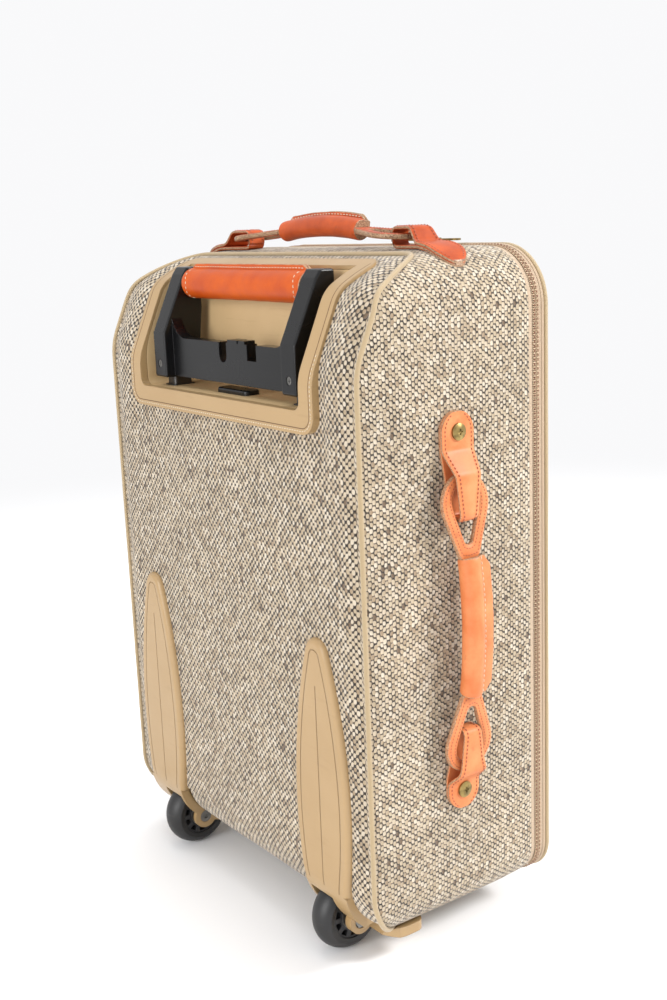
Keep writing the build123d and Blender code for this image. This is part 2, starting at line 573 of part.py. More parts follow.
def make_running_gear():
    """Skids, wheels, axle bolts with nuts, and the front feet."""
    right_skid = make_skid()
    right_wheel = make_wheel()
    bolt = rod_x(98.9, 138.5, WHEEL_Y, WHEEL_RADIUS, AXLE_RADIUS)
    bolt += rod_x(98.6, 100.5, WHEEL_Y, WHEEL_RADIUS, 5.6)
    socket = Plane.YZ.offset(98) * Pos(WHEEL_Y, WHEEL_RADIUS) * RegularPolygon(2.6, 6)
    bolt -= extrude(socket, 2)
    nut = extrude(Plane.YZ.offset(134.5) * Pos(WHEEL_Y, WHEEL_RADIUS) * RegularPolygon(6.2, 6), 3.5)
    nut -= rod_x(130, 150, WHEEL_Y, WHEEL_RADIUS, AXLE_RADIUS)
    parts["axle_bolts"] = both_sides(bolt)
    parts["axle_nuts"] = both_sides(nut)
    names = ("skid", "wheel_tyre", "wheel_hub", "wheel_bearings")
    for name, shape in zip(names, (right_skid, *right_wheel)):
        parts[f"{name}_right"] = shape
        parts[f"{name}_left"] = mirror(shape, Plane.YZ)
    foot = Pos(96, -148, CASE_BOTTOM / 2) * Cone(14, 18, CASE_BOTTOM)
    foot -= Pos(96, -148, 10) * Cylinder(5.2, 20)
    screw = Pos(96, -148, 18.2) * Cylinder(5, 3.6)
    parts["front_feet"] = both_sides(foot)
    parts["foot_screws"] = both_sides(screw)


def tab_solid(end, fold, gap_end, gap_top, _):
    """A leather tab in handle space: it lies flat at its end, rises, and folds back under itself."""
    high = 14.6 + LEATHER
    outer = [(end, 0.2), (end, 5.4), (gap_end + 2, 5.4), (gap_top + 1.5, high), (fold, high), (fold, 0.2)]
    inner = [(gap_end, 2.8), (gap_top, 14.6), (fold + LEATHER, 14.6), (fold + LEATHER, 2.8)]
    outer = make_face(Polyline(*outer, close=True))
    inner = make_face(Polyline(*inner, close=True))
    outer = fillet([v for v in outer.vertices() if v.X < fold + 10], 6)
    inner = fillet([v for v in inner.vertices() if v.X < fold + 10], 3.4)
    strap = extrude(Plane.XZ * (outer - inner), TAB_HALF_WIDTH, both=True)
    bulb = end - 26
    waist = ThreePointArc((bulb, TAB_HALF_WIDTH), (fold + 28, 11.2), (fold - 1, NECK_HALF_WIDTH))
    waist_back = ThreePointArc((fold - 1, -NECK_HALF_WIDTH), (fold + 28, -11.2), (bulb, -TAB_HALF_WIDTH))
    round_end = ThreePointArc((end - 15.5, -TAB_HALF_WIDTH), (end, 0), (end - 15.5, TAB_HALF_WIDTH))
    tip = Line(waist @ 1, waist_back @ 0)
    sides = [Line(waist_back @ 1, round_end @ 0), Line(round_end @ 1, waist @ 0)]
    plan = make_face([waist, tip, waist_back, *sides, round_end])
    return strap & extrude(plan, 30)


def loop_and_grip(drop, flange_up):
    """Both teardrop loops and the bowed leather grip, in handle space."""
    ends = CARRY_GRIP_HALF
    bow = ThreePointArc((-ends, 0, GRIP_END_HEIGHT), (0, 0, GRIP_MIDDLE_HEIGHT), (ends, 0, GRIP_END_HEIGHT))
    grip = tube_along(bow, CARRY_GRIP_RADIUS)
    if flange_up:
        rise = GRIP_MIDDLE_HEIGHT - GRIP_END_HEIGHT
        bow_radius = (ends**2 / rise + rise) / 2
        disc = Rot(90, 0, 0) * Cylinder(bow_radius + 11.5, 60)
        flange = block(1 - ends, ends - 1, -7.5, -3.0, GRIP_MIDDLE_HEIGHT, 40)
        grip += flange & Pos(0, 0, GRIP_MIDDLE_HEIGHT - bow_radius) * disc
    else:
        grip += block(1 - ends, ends - 1, -18, -6, GRIP_END_HEIGHT - 2, GRIP_END_HEIGHT + 3)
    centre = HANDLE_REACH - LOOP_BAR - LOOP_HOLE_RADIUS
    outer_centre = HANDLE_REACH - LOOP_HALF_WIDTH
    neck = ends - 1
    outline = make_hull(
        [
            *(Pos(outer_centre, 0) * Circle(LOOP_HALF_WIDTH)).edges(),
            *(Pos(neck + 4, 0) * Rectangle(8, 17)).edges(),
        ]
    )
    hole = make_hull(
        [
            *(Pos(centre, 0) * Circle(LOOP_HOLE_RADIUS)).edges(),
            *(Pos(neck + 16, 0) * Circle(5.0)).edges(),
        ]
    )
    plate = extrude(outline - hole, LOOP_THICKNESS / 2, both=True)
    tilt = degrees(atan2(GRIP_END_HEIGHT - PIVOT_HEIGHT, HANDLE_REACH - ends))
    plate = Pos(HANDLE_REACH, 0, PIVOT_HEIGHT) * Rot(0, tilt, 0) * Pos(-HANDLE_REACH, 0, 0) * plate
    loops = Compound(list((plate - grip).solids()) + list((mirror(plate, Plane.YZ) - grip).solids()))
    move = Pos(drop, 0, 0)
    return move * loops, move * grip


def dome_screw():
    """A domed cross-recess screw whose head sits on the leather."""
    dome = Sphere(17.0) & Pos(0, 0, 17) * Cylinder(6.4, 5.6)
    dome -= Pos(0, 0, 17.5) * (Box(4.6, 1.1, 3) + Box(1.1, 4.6, 3))
    shank = Pos(0, 0, 7.2) * Cylinder(FIXING_SHANK, 14)
    return Pos(0, 0, 5.4 - 14.2) * (dome + shank)


def hidden_rivet():
    """A flat rivet whose head is covered by the leather's upper ply."""
    shank = Pos(0, 0, -2.6) * Cylinder(FIXING_SHANK, 12)
    return shank + Pos(0, 0, 3.4) * Cylinder(4.5, 1.2)


def make_handle(name, place, wall, tabs, drop, fixing, plate_depth):
    """One carry handle on a wall: tabs = the tab at +u and the tab at -u, in handle space."""
    leather, fixings, plates, holes = [], [], [], []
    for sizes, turn in zip(tabs, (0, 180)):
        at = sizes[-1]
        spin = place * Rot(0, 0, turn)
        piece = spin * Pos(at, 0, 0) * fixing
        hole = spin * Pos(at, 0, 0) * Cylinder(FIXING_SHANK, 40)
        plate = block(at - 9, at + 7, -10, 10, plate_depth - 2, plate_depth)
        leather += (spin * tab_solid(*sizes) - piece).solids()
        fixings += piece.solids()
        plates += (spin * plate - hole).solids()
        holes += hole.solids()
    loops, grip = loop_and_grip(drop, name == "top")
    kind = "rivets" if name == "top" else "screws"
    parts[f"{name}_handle_tabs"] = Compound(leather)
    parts[f"{name}_handle_{kind}"] = Compound(fixings)
    parts[f"{name}_handle_backing_plates"] = Compound(plates)
    parts[f"{name}_handle_loops"] = place * loops
    parts[f"{name}_handle_grip"] = place * grip
    parts[wall] -= Compound(holes)


def make_carry_handles():
    """The carry handle on top and the one on the side wall away from the lid's hinge."""
    top = Plane(origin=(0, TOP_HANDLE_Y, CASE_TOP), x_dir=(1, 0, 0), z_dir=(0, 0, 1))
    side = Plane(origin=(-CASE_HALF_WIDTH, SIDE_HANDLE_Y, SIDE_HANDLE_Z), x_dir=(0, 0, 1), z_dir=(-1, 0, 0))
    make_handle("top", top, "gusset_top", (TOP_TAB, TOP_TAB), 0.0, hidden_rivet(), -WALL - 2.8)
    side_tabs = (SIDE_TAB_HIGH, SIDE_TAB_LOW)
    make_handle("side", side, "gusset_handle_side", side_tabs, SIDE_HANDLE_DROP, dome_screw(), -WALL - 0.2)


make_shell()
make_zipper_and_lid()
make_sliders()
make_recess()
make_yoke()
make_tubes()
make_lock()
make_running_gear()
make_carry_handles()

os.makedirs("parts", exist_ok=True)
for node, shape in parts.items():
    solids = shape.solids()
    placed = Pos(ORIGIN_X, ORIGIN_Y, 0) * (Compound(list(solids)) if len(solids) > 1 else solids[0])
    export_step(placed, f"parts/{node}.step")
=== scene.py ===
from math import atan2, cos, hypot, pi, radians, sin, sqrt, tan

import bpy
import numpy as np
from mathutils import Matrix, Vector, noise
from mathutils.bvhtree import BVHTree


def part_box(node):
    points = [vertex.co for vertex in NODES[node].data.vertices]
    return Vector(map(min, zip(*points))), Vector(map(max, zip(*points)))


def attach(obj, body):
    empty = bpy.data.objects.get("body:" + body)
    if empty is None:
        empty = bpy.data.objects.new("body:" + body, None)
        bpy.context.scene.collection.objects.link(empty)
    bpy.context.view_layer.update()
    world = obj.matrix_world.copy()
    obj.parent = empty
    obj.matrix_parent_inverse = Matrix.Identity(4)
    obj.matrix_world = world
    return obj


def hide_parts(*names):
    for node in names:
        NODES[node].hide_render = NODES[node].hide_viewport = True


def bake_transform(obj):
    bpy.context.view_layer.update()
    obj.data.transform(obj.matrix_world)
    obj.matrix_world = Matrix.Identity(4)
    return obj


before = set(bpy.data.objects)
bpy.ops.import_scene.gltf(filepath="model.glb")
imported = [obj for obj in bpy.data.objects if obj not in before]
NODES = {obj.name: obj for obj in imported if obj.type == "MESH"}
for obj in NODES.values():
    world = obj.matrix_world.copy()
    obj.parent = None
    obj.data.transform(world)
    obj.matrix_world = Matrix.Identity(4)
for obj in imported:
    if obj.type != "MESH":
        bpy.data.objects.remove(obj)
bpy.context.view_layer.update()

# Lengths are in millimetres in the case's own axes: x from its centre plane, y from its back seam
# (the lid is towards -y) and z from the floor. at() turns them into the frame's metres.
MM = 0.001
panel_low, panel_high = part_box("back_panel")
CENTRE_X = (panel_low.x + panel_high.x) / 2
SEAM_Y = panel_high.y
HALF_WIDTH = (panel_high.x - panel_low.x) / 2 / MM
CASE_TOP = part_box("gusset_top")[1].z / MM
CASE_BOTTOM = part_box("zipper_track_case")[0].z / MM + 0.3
TOP_CORNER = 45.0
BOTTOM_CORNER = 30.0

# The back profile: a heel, an upright wall, a lean, a slope, a shoulder and a crown
HEEL_RADIUS = 45.0
HEEL_START_Y = -48.0
LEAN = 24.0
LEAN_RADIUS = 60.0
LEAN_LENGTH = 34.0
SHOULDER_TURN = 36.0
SHOULDER_RADIUS = 25.0
CROWN_TURN = 90.0 - LEAN - SHOULDER_TURN
CROWN_RADIUS = 171.4
TOP_SEAM_Y = (panel_low.y - SEAM_Y) / MM
WALL = 4.6
SEAM_SOFT = 10.0  # how gently the piping's seam turns from the sides into the top
SEAM_TUCK = 1.3  # how far the back panel's edge stays inside the case's outline, under the piping
WELL_OUTER = 133.5  # the wheel wells' outer side and top
WELL_TOP = 66.0

# Zipper and lid, from the frame
ZIP_Y = -172.3
GUSSET_FRONT_Y = (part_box("zipper_track_case")[1].y - SEAM_Y) / MM
LID_BACK_Y = (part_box("lid_gusset")[1].y - SEAM_Y) / MM
LID_SEAM_Y = (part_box("lid_panel")[1].y - SEAM_Y) / MM
LID_FRONT_Y = (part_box("lid_panel")[0].y - SEAM_Y) / MM
PIPING_RADIUS = 2.0
COIL_GAP = 0.6  # from the zipper's middle line to each row of coil
COIL = 2.4  # how far a coil's turn reaches onto its tape
COIL_SEWING = 1.15  # where the brown thread crosses the coil
COIL_PITCH = 1.75


def at(x, y, z):
    """A point of the case's axes, in millimetres, as a point of the frame."""
    return Vector((CENTRE_X + x * MM, SEAM_Y + y * MM, z * MM))


def smooth(low, high, value):
    """0 below low, 1 above high, and an even S between them."""
    t = min(max((value - low) / (high - low), 0.0), 1.0)
    return t * t * (3 - 2 * t)


def wobble(x, y, z, size):
    """Even random unevenness from -1 to 1, with lumps of the given size."""
    return noise.noise(Vector((x, y, z)) / size)


# ---------------------------------------------------------------- meshes

def new_piece(name, verts, faces, uvs=None, materials=(), face_material=None, sharp=45):
    """A mesh object from points in the frame, with smooth shading and optional UVs for each vertex."""
    mesh = bpy.data.meshes.new(name)
    mesh.from_pydata([tuple(v) for v in verts], [], faces)
    for material in materials:
        mesh.materials.append(material)
    if face_material is not None:
        mesh.polygons.foreach_set("material_index", face_material)
    if uvs is not None:
        layer = mesh.uv_layers.new(name="UVMap")
        corner = np.zeros(len(mesh.loops), np.int32)
        mesh.loops.foreach_get("vertex_index", corner)
        layer.data.foreach_set("uv", np.asarray(uvs, np.float32)[corner].ravel())
    mesh.shade_smooth()
    mesh.set_sharp_from_angle(angle=radians(sharp))
    mesh.validate()
    piece = bpy.data.objects.new(name, mesh)
    bpy.context.scene.collection.objects.link(piece)
    return piece


def shell(name, outer, normals, uv, keep, thickness, materials):
    """A closed wall of even thickness under a grid of points; cells that aren't kept are openings."""
    rows, columns = outer.shape[:2]
    cells = [(r, c) for r in range(rows - 1) for c in range(columns - 1) if keep[r][c]]
    index, verts, uvs = {}, [], []

    def vertex(r, c, side):
        key = (r, c, side)
        if key not in index:
            index[key] = len(verts)
            point = outer[r][c] - normals[r][c] * thickness * side
            verts.append(at(*point))
            shift = side * thickness * MM
            uvs.append((uv[r][c][0] + shift, uv[r][c][1] + shift))
        return index[key]

    faces, material, edges = [], [], {}
    for r, c in cells:
        corners = [(r, c), (r, c + 1), (r + 1, c + 1), (r + 1, c)]
        faces.append([vertex(*k, 0) for k in corners])
        faces.append([vertex(*k, 1) for k in reversed(corners)])
        material += [0, len(materials) - 1]
        for k in range(4):
            edge = (corners[k], corners[(k + 1) % 4])
            edges[edge] = True
    for a, b in edges:
        if (b, a) not in edges:
            faces.append([vertex(*b, 0), vertex(*a, 0), vertex(*a, 1), vertex(*b, 1)])
            material.append(0)
    return new_piece(name, verts, faces, uvs, materials, material)


def tube_faces(first, rings, around, closed=False):
    """Faces of a tube of rings of vertices that follow each other, capped unless it closes on itself."""
    faces = []
    for i in range(rings if closed else rings - 1):
        a, b = first + i * around, first + (i + 1) % rings * around
        for k in range(around):
            n = (k + 1) % around
            faces.append([a + k, a + n, b + n, b + k])
    if not closed:
        last = first + (rings - 1) * around
        faces.append([first + k for k in range(around)][::-1])
        faces.append([last + k for k in range(around)])
    return faces


def loft(name, rings, material, uvs=None, closed=False, sharp=45):
    """A skin through rings of the same number of points, in the frame."""
    verts = [p for ring in rings for p in ring]
    faces = tube_faces(0, len(rings), len(rings[0]), closed)
    return new_piece(name, verts, faces, uvs, [material], sharp=sharp)


def joined(name, pieces):
    """Several mesh pieces made one, keeping their materials."""
    for piece in bpy.context.selected_objects:
        piece.select_set(False)
    for piece in pieces:
        piece.select_set(True)
    bpy.context.view_layer.objects.active = pieces[0]
    bpy.ops.object.join()
    pieces[0].name = name
    pieces[0].data.name = name
    return pieces[0]


def rounded(points, radii, step=1.5):
    """A path of straight runs joined by arcs, as evenly spaced 2-D points."""
    out = [np.array(points[0], float)]
    for k in range(1, len(points) - 1):
        before, corner, after = (np.array(points[k + i], float) for i in (-1, 0, 1))
        a, b = before - corner, after - corner
        a, b = a / np.linalg.norm(a), b / np.linalg.norm(b)
        turn = np.arccos(np.clip(a @ b, -1, 1))
        cut = radii[k - 1] / tan(turn / 2)
        start, end = corner + a * cut, corner + b * cut
        centre = corner + (a + b) / np.linalg.norm(a + b) * radii[k - 1] / sin(turn / 2)
        count = max(3, int(radii[k - 1] * (pi - turn) / step) + 1)
        for i in range(count + 1):
            spot = start + (end - start) * i / count - centre
            out.append(centre + spot / np.linalg.norm(spot) * radii[k - 1])
    out.append(np.array(points[-1], float))
    return resample(out, step)


def resample(points, step):
    """The same line with evenly spaced points."""
    points = np.array(points, float)
    spans = np.linalg.norm(np.diff(points, axis=0), axis=1)
    along = np.concatenate([[0], np.cumsum(spans)])
    count = max(2, int(round(along[-1] / step)) + 1)
    wanted = np.linspace(0, along[-1], count)
    return np.stack([np.interp(wanted, along, points[:, k]) for k in range(points.shape[1])], 1)


def stitch_row(name, points, material, length=2.2, pitch=3.4, radius=0.42, sink=0.1, up=None):
    """Separate thread stitches along a line of frame points; up lists the surface's normals."""
    points = [Vector(p) for p in points]
    along = [0.0]
    for a, b in zip(points, points[1:]):
        along.append(along[-1] + (b - a).length)
    verts, faces = [], []
    count = int(along[-1] / (pitch * MM))
    for k in range(count):
        middle = (k + 0.5) * along[-1] / count
        i = min(int(np.searchsorted(along, middle)), len(points) - 1)
        f = (middle - along[i - 1]) / (along[i] - along[i - 1])
        spot = points[i - 1].lerp(points[i], f)
        ahead = (points[i] - points[i - 1]).normalized()
        normal = up[i - 1].lerp(up[i], f).normalized()
        side = normal.cross(ahead).normalized()
        first = len(verts)
        for ring in range(5):
            t = ring / 2 - 1
            wide = radius * sqrt(max(1 - (t * 0.92) ** 2, 0.08)) * MM
            lift = (radius * 0.55 * (1 - t * t) - sink) * MM
            for j in range(6):
                turn = 2 * pi * j / 6
                offset = side * cos(turn) * wide + normal * (sin(turn) * wide * 0.8 + lift)
                verts.append(spot + ahead * (t * length / 2 * MM) + offset)
        faces += tube_faces(first, 5, 6)
    return new_piece(name, verts, faces, None, [material], sharp=80)


# ---------------------------------------------------------------- the case's two outlines

def march(start, heading, moves, step=1.0):
    """Walks straight runs and left-hand arcs; gives columns of distance, two places and heading."""
    rows = [(0.0, start[0], start[1], heading)]
    for kind, size, turn in moves:
        length = size if kind == "run" else size * radians(turn)
        count = max(1, int(length / step))
        bend = 0.0 if kind == "run" else radians(turn) / count
        for _ in range(count):
            s, a, b, h = rows[-1]
            middle = h + bend / 2
            chord = length / count if kind == "run" else 2 * size * sin(bend / 2)
            rows.append((s + length / count, a + chord * cos(middle), b + chord * sin(middle), h + bend))
    return np.array(rows)


BEND_RISE = (
    LEAN_RADIUS * sin(radians(LEAN))
    + LEAN_LENGTH * cos(radians(LEAN))
    + SHOULDER_RADIUS * (cos(radians(CROWN_TURN)) - sin(radians(LEAN)))
    + CROWN_RADIUS * (1 - cos(radians(CROWN_TURN)))
)
BEND_Z = CASE_TOP - BEND_RISE
PROFILE = march(
    (HEEL_START_Y, CASE_BOTTOM),
    0.0,
    [
        ("run", -HEEL_RADIUS - HEEL_START_Y, 0),
        ("arc", HEEL_RADIUS, 90),
        ("run", BEND_Z - CASE_BOTTOM - HEEL_RADIUS, 0),
        ("arc", LEAN_RADIUS, LEAN),
        ("run", LEAN_LENGTH, 0),
        ("arc", SHOULDER_RADIUS, SHOULDER_TURN),
        ("arc", CROWN_RADIUS, CROWN_TURN),
        ("run", 60, 0),
    ],
)


def profile(s):
    """Place (y, z) and outward direction (y, z) at a distance along the back profile."""
    y, z, heading = (np.interp(s, PROFILE[:, 0], PROFILE[:, k]) for k in (1, 2, 3))
    return y, z, sin(heading), -cos(heading)


def profile_y(z):
    """How far back the profile stands at a height."""
    return float(np.interp(z, PROFILE[:, 2], PROFILE[:, 1]))


def profile_s(value, column):
    """Distance along the profile where a column (1 for y over the top, 2 for z) has a value."""
    if column == 2:
        return float(np.interp(value, PROFILE[:, 2], PROFILE[:, 0]))
    upper = PROFILE[PROFILE[:, 0] > 200]
    return float(np.interp(-value, -upper[:, 1], upper[:, 0]))


def half_width(z, inset=0.0):
    """Half of the case's width at a height, with its rounded corners."""
    top, low = TOP_CORNER - inset, BOTTOM_CORNER - inset
    full = HALF_WIDTH - inset
    over = z - (CASE_TOP - TOP_CORNER)
    under = (CASE_BOTTOM + BOTTOM_CORNER) - z
    if over > 0:
        return full - top + sqrt(max(top**2 - over**2, 0))
    if under > 0:
        return full - low + sqrt(max(low**2 - under**2, 0))
    return full


def outline(step, grow=0.0):
    """The case's outline from the bottom's middle, first towards +x: x, z, outward x and z, distance."""
    top, low = TOP_CORNER + grow, BOTTOM_CORNER + grow
    width, height = 2 * (HALF_WIDTH + grow), CASE_TOP - CASE_BOTTOM + 2 * grow
    moves = [
        ("run", width / 2 - low, 0),
        ("arc", low, 90),
        ("run", height - low - top, 0),
        ("arc", top, 90),
        ("run", width - 2 * top, 0),
        ("arc", top, 90),
        ("run", height - low - top, 0),
        ("arc", low, 90),
        ("run", width / 2 - low, 0),
    ]
    rows = march((0.0, CASE_BOTTOM - grow), 0.0, moves, step)
    return [(x, z, sin(h), -cos(h), p) for p, x, z, h in rows]


def seam_y(z):
    """Where the piping's seam lies at a height on the outline, softly held at the top seam."""
    deep = profile_y(z)
    gap = (deep - TOP_SEAM_Y) / SEAM_SOFT
    return TOP_SEAM_Y + SEAM_SOFT * np.log1p(np.exp(gap)) if gap < 40 else deep


# ---------------------------------------------------------------- materials

class Graph:
    """Short calls for building one material's nodes."""

    def __init__(self, name, rough=0.5, metal=0.0):
        self.material = bpy.data.materials.new(name)
        self.material.use_nodes = True
        self.tree = self.material.node_tree
        self.bsdf = self.tree.nodes["Principled BSDF"]
        self.set("Roughness", rough)
        self.set("Metallic", metal)

    def node(self, kind, *values, out=0, **options):
        """A node with its inputs set or linked in order; returns one output."""
        node = self.tree.nodes.new(kind)
        for key, value in options.items():
            setattr(node, key, value)
        for socket, value in zip(node.inputs, values):
            self.plug(value, socket)
        return node.outputs[out]

    def plug(self, value, socket):
        if isinstance(value, bpy.types.NodeSocket):
            self.tree.links.new(value, socket)
        elif value is not None:
            socket.default_value = value

    def set(self, name, value):
        self.plug(value, self.bsdf.inputs[name])

    def maths(self, operation, a, b=None, c=None):
        return self.node("ShaderNodeMath", a, b, c, operation=operation)

    def vector(self, x, y, z=0.0):
        return self.node("ShaderNodeCombineXYZ", x, y, z)

    def stretched(self, vector, x, y, z):
        return self.node("ShaderNodeVectorMath", vector, (x, y, z), operation="MULTIPLY")

    def split(self, vector):
        node = self.tree.nodes.new("ShaderNodeSeparateXYZ")
        self.plug(vector, node.inputs[0])
        return node.outputs

    def noise(self, vector, scale, detail=3.0, rough=0.5, out=0):
        node = self.tree.nodes.new("ShaderNodeTexNoise")
        self.plug(vector, node.inputs["Vector"])
        for name, value in (("Scale", scale), ("Detail", detail), ("Roughness", rough)):
            self.plug(value, node.inputs[name])
        return node.outputs[out]

    def mix(self, factor, a, b, blend="MIX"):
        node = self.tree.nodes.new("ShaderNodeMix")
        node.data_type = "RGBA"
        node.blend_type = blend
        for socket, value in zip((node.inputs[0], node.inputs[6], node.inputs[7]), (factor, a, b)):
            self.plug(value, socket)
        return node.outputs[2]

    def ramp(self, factor, *stops):
        node = self.tree.nodes.new("ShaderNodeValToRGB")
        self.plug(factor, node.inputs[0])
        elements = node.color_ramp.elements
        while len(elements) < len(stops):
            elements.new(0.5)
        for element, (place, colour) in zip(elements, stops):
            element.position = place
            element.color = colour
        return node.outputs[0]

    def span(self, value, low, high, to_low=0.0, to_high=1.0):
        return self.node("ShaderNodeMapRange", value, low, high, to_low, to_high)

    def bump(self, height, depth_mm, strength=1.0, normal=None):
        node = self.tree.nodes.new("ShaderNodeBump")
        node.inputs["Strength"].default_value = strength
        node.inputs["Distance"].default_value = depth_mm * MM
        self.plug(height, node.inputs["Height"])
        if normal is not None:
            self.plug(normal, node.inputs["Normal"])
        return node.outputs[0]

    def rounded_edges(self, radius_mm):
        node = self.tree.nodes.new("ShaderNodeBevel")
        node.samples = 4
        node.inputs["Radius"].default_value = radius_mm * MM
        return node.outputs[0]

    def place(self):
        """Object coordinates, which are the frame's own."""
        return self.node("ShaderNodeTexCoord", out=3)

    def uv(self):
        return self.node("ShaderNodeTexCoord", out=2)

    def attribute(self, name):
        node = self.tree.nodes.new("ShaderNodeAttribute")
        node.attribute_name = name
        return node.outputs["Fac"]


TONE = 0.8  # colours as seen are toned down for the bright studio light


def rgb(red, green, blue):
    """A material colour from 0 to 255 sRGB values."""
    shares = (red / 255, green / 255, blue / 255)
    linear = [c / 12.92 if c <= 0.04045 else ((c + 0.055) / 1.055) ** 2.4 for c in shares]
    return (*(c * TONE for c in linear), 1.0)


def grain_lattice(g, u, v, offset, wide, tall):
    """Yarn crossings on top, one in each cell: height, and the cell's random values."""
    a = g.maths("ADD", g.maths("MULTIPLY", u, 0.5), offset)
    b = g.maths("ADD", g.maths("MULTIPLY", v, 0.5), offset)
    cell = g.vector(g.maths("FLOOR", a), g.maths("FLOOR", b), offset * 7 + 0.3)
    chance = g.node("ShaderNodeTexWhiteNoise", cell, out=1, noise_dimensions="3D")
    r1, r2, r3 = g.split(chance)
    x = g.maths("SUBTRACT", g.maths("FRACT", a), g.maths("MULTIPLY_ADD", r1, 0.10, 0.45))
    y = g.maths("SUBTRACT", g.maths("FRACT", b), g.maths("MULTIPLY_ADD", r2, 0.10, 0.45))
    slant = g.maths("MULTIPLY_ADD", r3, 0.36, -0.14)
    x = g.maths("MULTIPLY_ADD", y, slant, x)
    size = g.maths("MULTIPLY_ADD", r2, 0.24, 0.88)
    ax = g.maths("DIVIDE", g.maths("DIVIDE", x, wide), size)
    ay = g.maths("DIVIDE", g.maths("DIVIDE", y, tall), size)
    ax, ay = (g.maths("POWER", g.maths("ABSOLUTE", part), 2.7) for part in (ax, ay))
    inside = g.maths("SUBTRACT", 1.0, g.maths("ADD", ax, ay))
    height = g.maths("SQRT", g.maths("MAXIMUM", inside, 0.0))
    return height, chance, g.maths("MULTIPLY", height, g.maths("MULTIPLY_ADD", r1, 0.3, 0.7))


def tweed(name, pitch_u, pitch_v, wide, tall):
    """Plain-woven tweed: plump cream yarns over a dark mixed weft. UVs are metres of cloth."""
    g = Graph(name, rough=0.93)
    uv = g.uv()
    drift = g.noise(uv, 55.0, 2.0, out=1)
    drift = g.node("ShaderNodeVectorMath", drift, (0.5, 0.5, 0.5), operation="SUBTRACT")
    moved = g.node("ShaderNodeVectorMath", drift, (0.0011,) * 3, uv, operation="MULTIPLY_ADD")
    u, v, _ = g.split(moved)
    u, v = g.maths("DIVIDE", u, pitch_u * MM), g.maths("DIVIDE", v, pitch_v * MM)
    high_a, chance_a, top_a = grain_lattice(g, u, v, 0.0, wide, tall)
    high_b, chance_b, top_b = grain_lattice(g, u, v, 0.5, wide, tall)
    which = g.maths("GREATER_THAN", high_b, high_a)
    height = g.maths("MAXIMUM", top_a, top_b)
    chance = g.mix(which, chance_a, chance_b)
    r1, _, r3 = g.split(chance)
    fibres = g.noise(g.stretched(moved, 2600.0, 900.0, 1.0), 1.0, 2.0)
    yarn = g.ramp(
        r1,
        (0.0, rgb(164, 142, 114)),
        (0.08, rgb(188, 168, 139)),
        (0.4, rgb(206, 188, 159)),
        (0.75, rgb(218, 201, 175)),
        (1.0, rgb(234, 221, 199)),
    )
    fleck = g.maths("GREATER_THAN", r3, 0.99)
    yarn = g.mix(fleck, yarn, rgb(112, 92, 72))
    yarn = g.mix(g.span(fibres, 0.35, 0.7, 0.0, 0.30), yarn, rgb(160, 136, 108))
    weft_noise = g.noise(g.stretched(moved, 420.0, 1500.0, 1.0), 1.0, 2.0)
    weft = g.ramp(
        weft_noise,
        (0.36, rgb(22, 18, 15)),
        (0.50, rgb(50, 42, 34)),
        (0.62, rgb(92, 78, 62)),
        (0.74, rgb(140, 122, 98)),
    )
    cover = g.span(height, 0.05, 0.35)
    colour = g.mix(cover, weft, yarn)
    patch = g.noise(uv, 14.0, 3.0)
    colour = g.mix(g.span(patch, 0.3, 0.7, 0.0, 0.16), colour, rgb(120, 104, 84), "MULTIPLY")
    g.set("Base Color", colour)
    g.set("Sheen Weight", 0.25)
    g.set("Sheen Roughness", 0.6)
    g.set("Specular IOR Level", 0.15)
    relief = g.maths("ADD", height, g.maths("MULTIPLY", fibres, 0.25))
    relief = g.maths("ADD", relief, g.maths("MULTIPLY", weft_noise, 0.18))
    g.set("Normal", g.bump(relief, 0.85, 0.9))
    return g.material


def cloth(name, colour, thread_mm, dark=0.75, rough=0.85, quilt_mm=0.0):
    """A fine plain weave in two shades of one colour, quilted in diamonds where quilt_mm is given."""
    g = Graph(name, rough=rough)
    uv = g.uv()
    u, v, _ = g.split(uv)
    a = g.maths("SINE", g.maths("MULTIPLY", u, pi / (thread_mm * MM)))
    b = g.maths("SINE", g.maths("MULTIPLY", v, pi / (thread_mm * MM)))
    over = g.maths("MULTIPLY", a, b)
    fuzz = g.noise(uv, 900.0, 2.0)
    shade = tuple(c * dark for c in colour[:3]) + (1.0,)
    tone = g.mix(g.span(over, -0.8, 0.8), shade, colour)
    tone = g.mix(g.span(g.noise(uv, 24.0), 0.3, 0.7, 0.0, 0.25), tone, shade)
    g.set("Base Color", tone)
    g.set("Sheen Weight", 0.3)
    relief = g.maths("ADD", g.maths("MULTIPLY", over, 0.5), fuzz)
    if quilt_mm:
        waves = []
        for way in ("ADD", "SUBTRACT"):
            share = g.maths("FRACT", g.maths("DIVIDE", g.maths(way, u, v), quilt_mm * MM))
            waves.append(g.maths("SINE", g.maths("MULTIPLY", share, pi)))
        puff = g.maths("POWER", g.maths("ABSOLUTE", g.maths("MULTIPLY", *waves)), 0.35)
        relief = g.maths("MULTIPLY_ADD", puff, 14.0, relief)
    g.set("Normal", g.bump(relief, 0.25, 0.8))
    return g.material


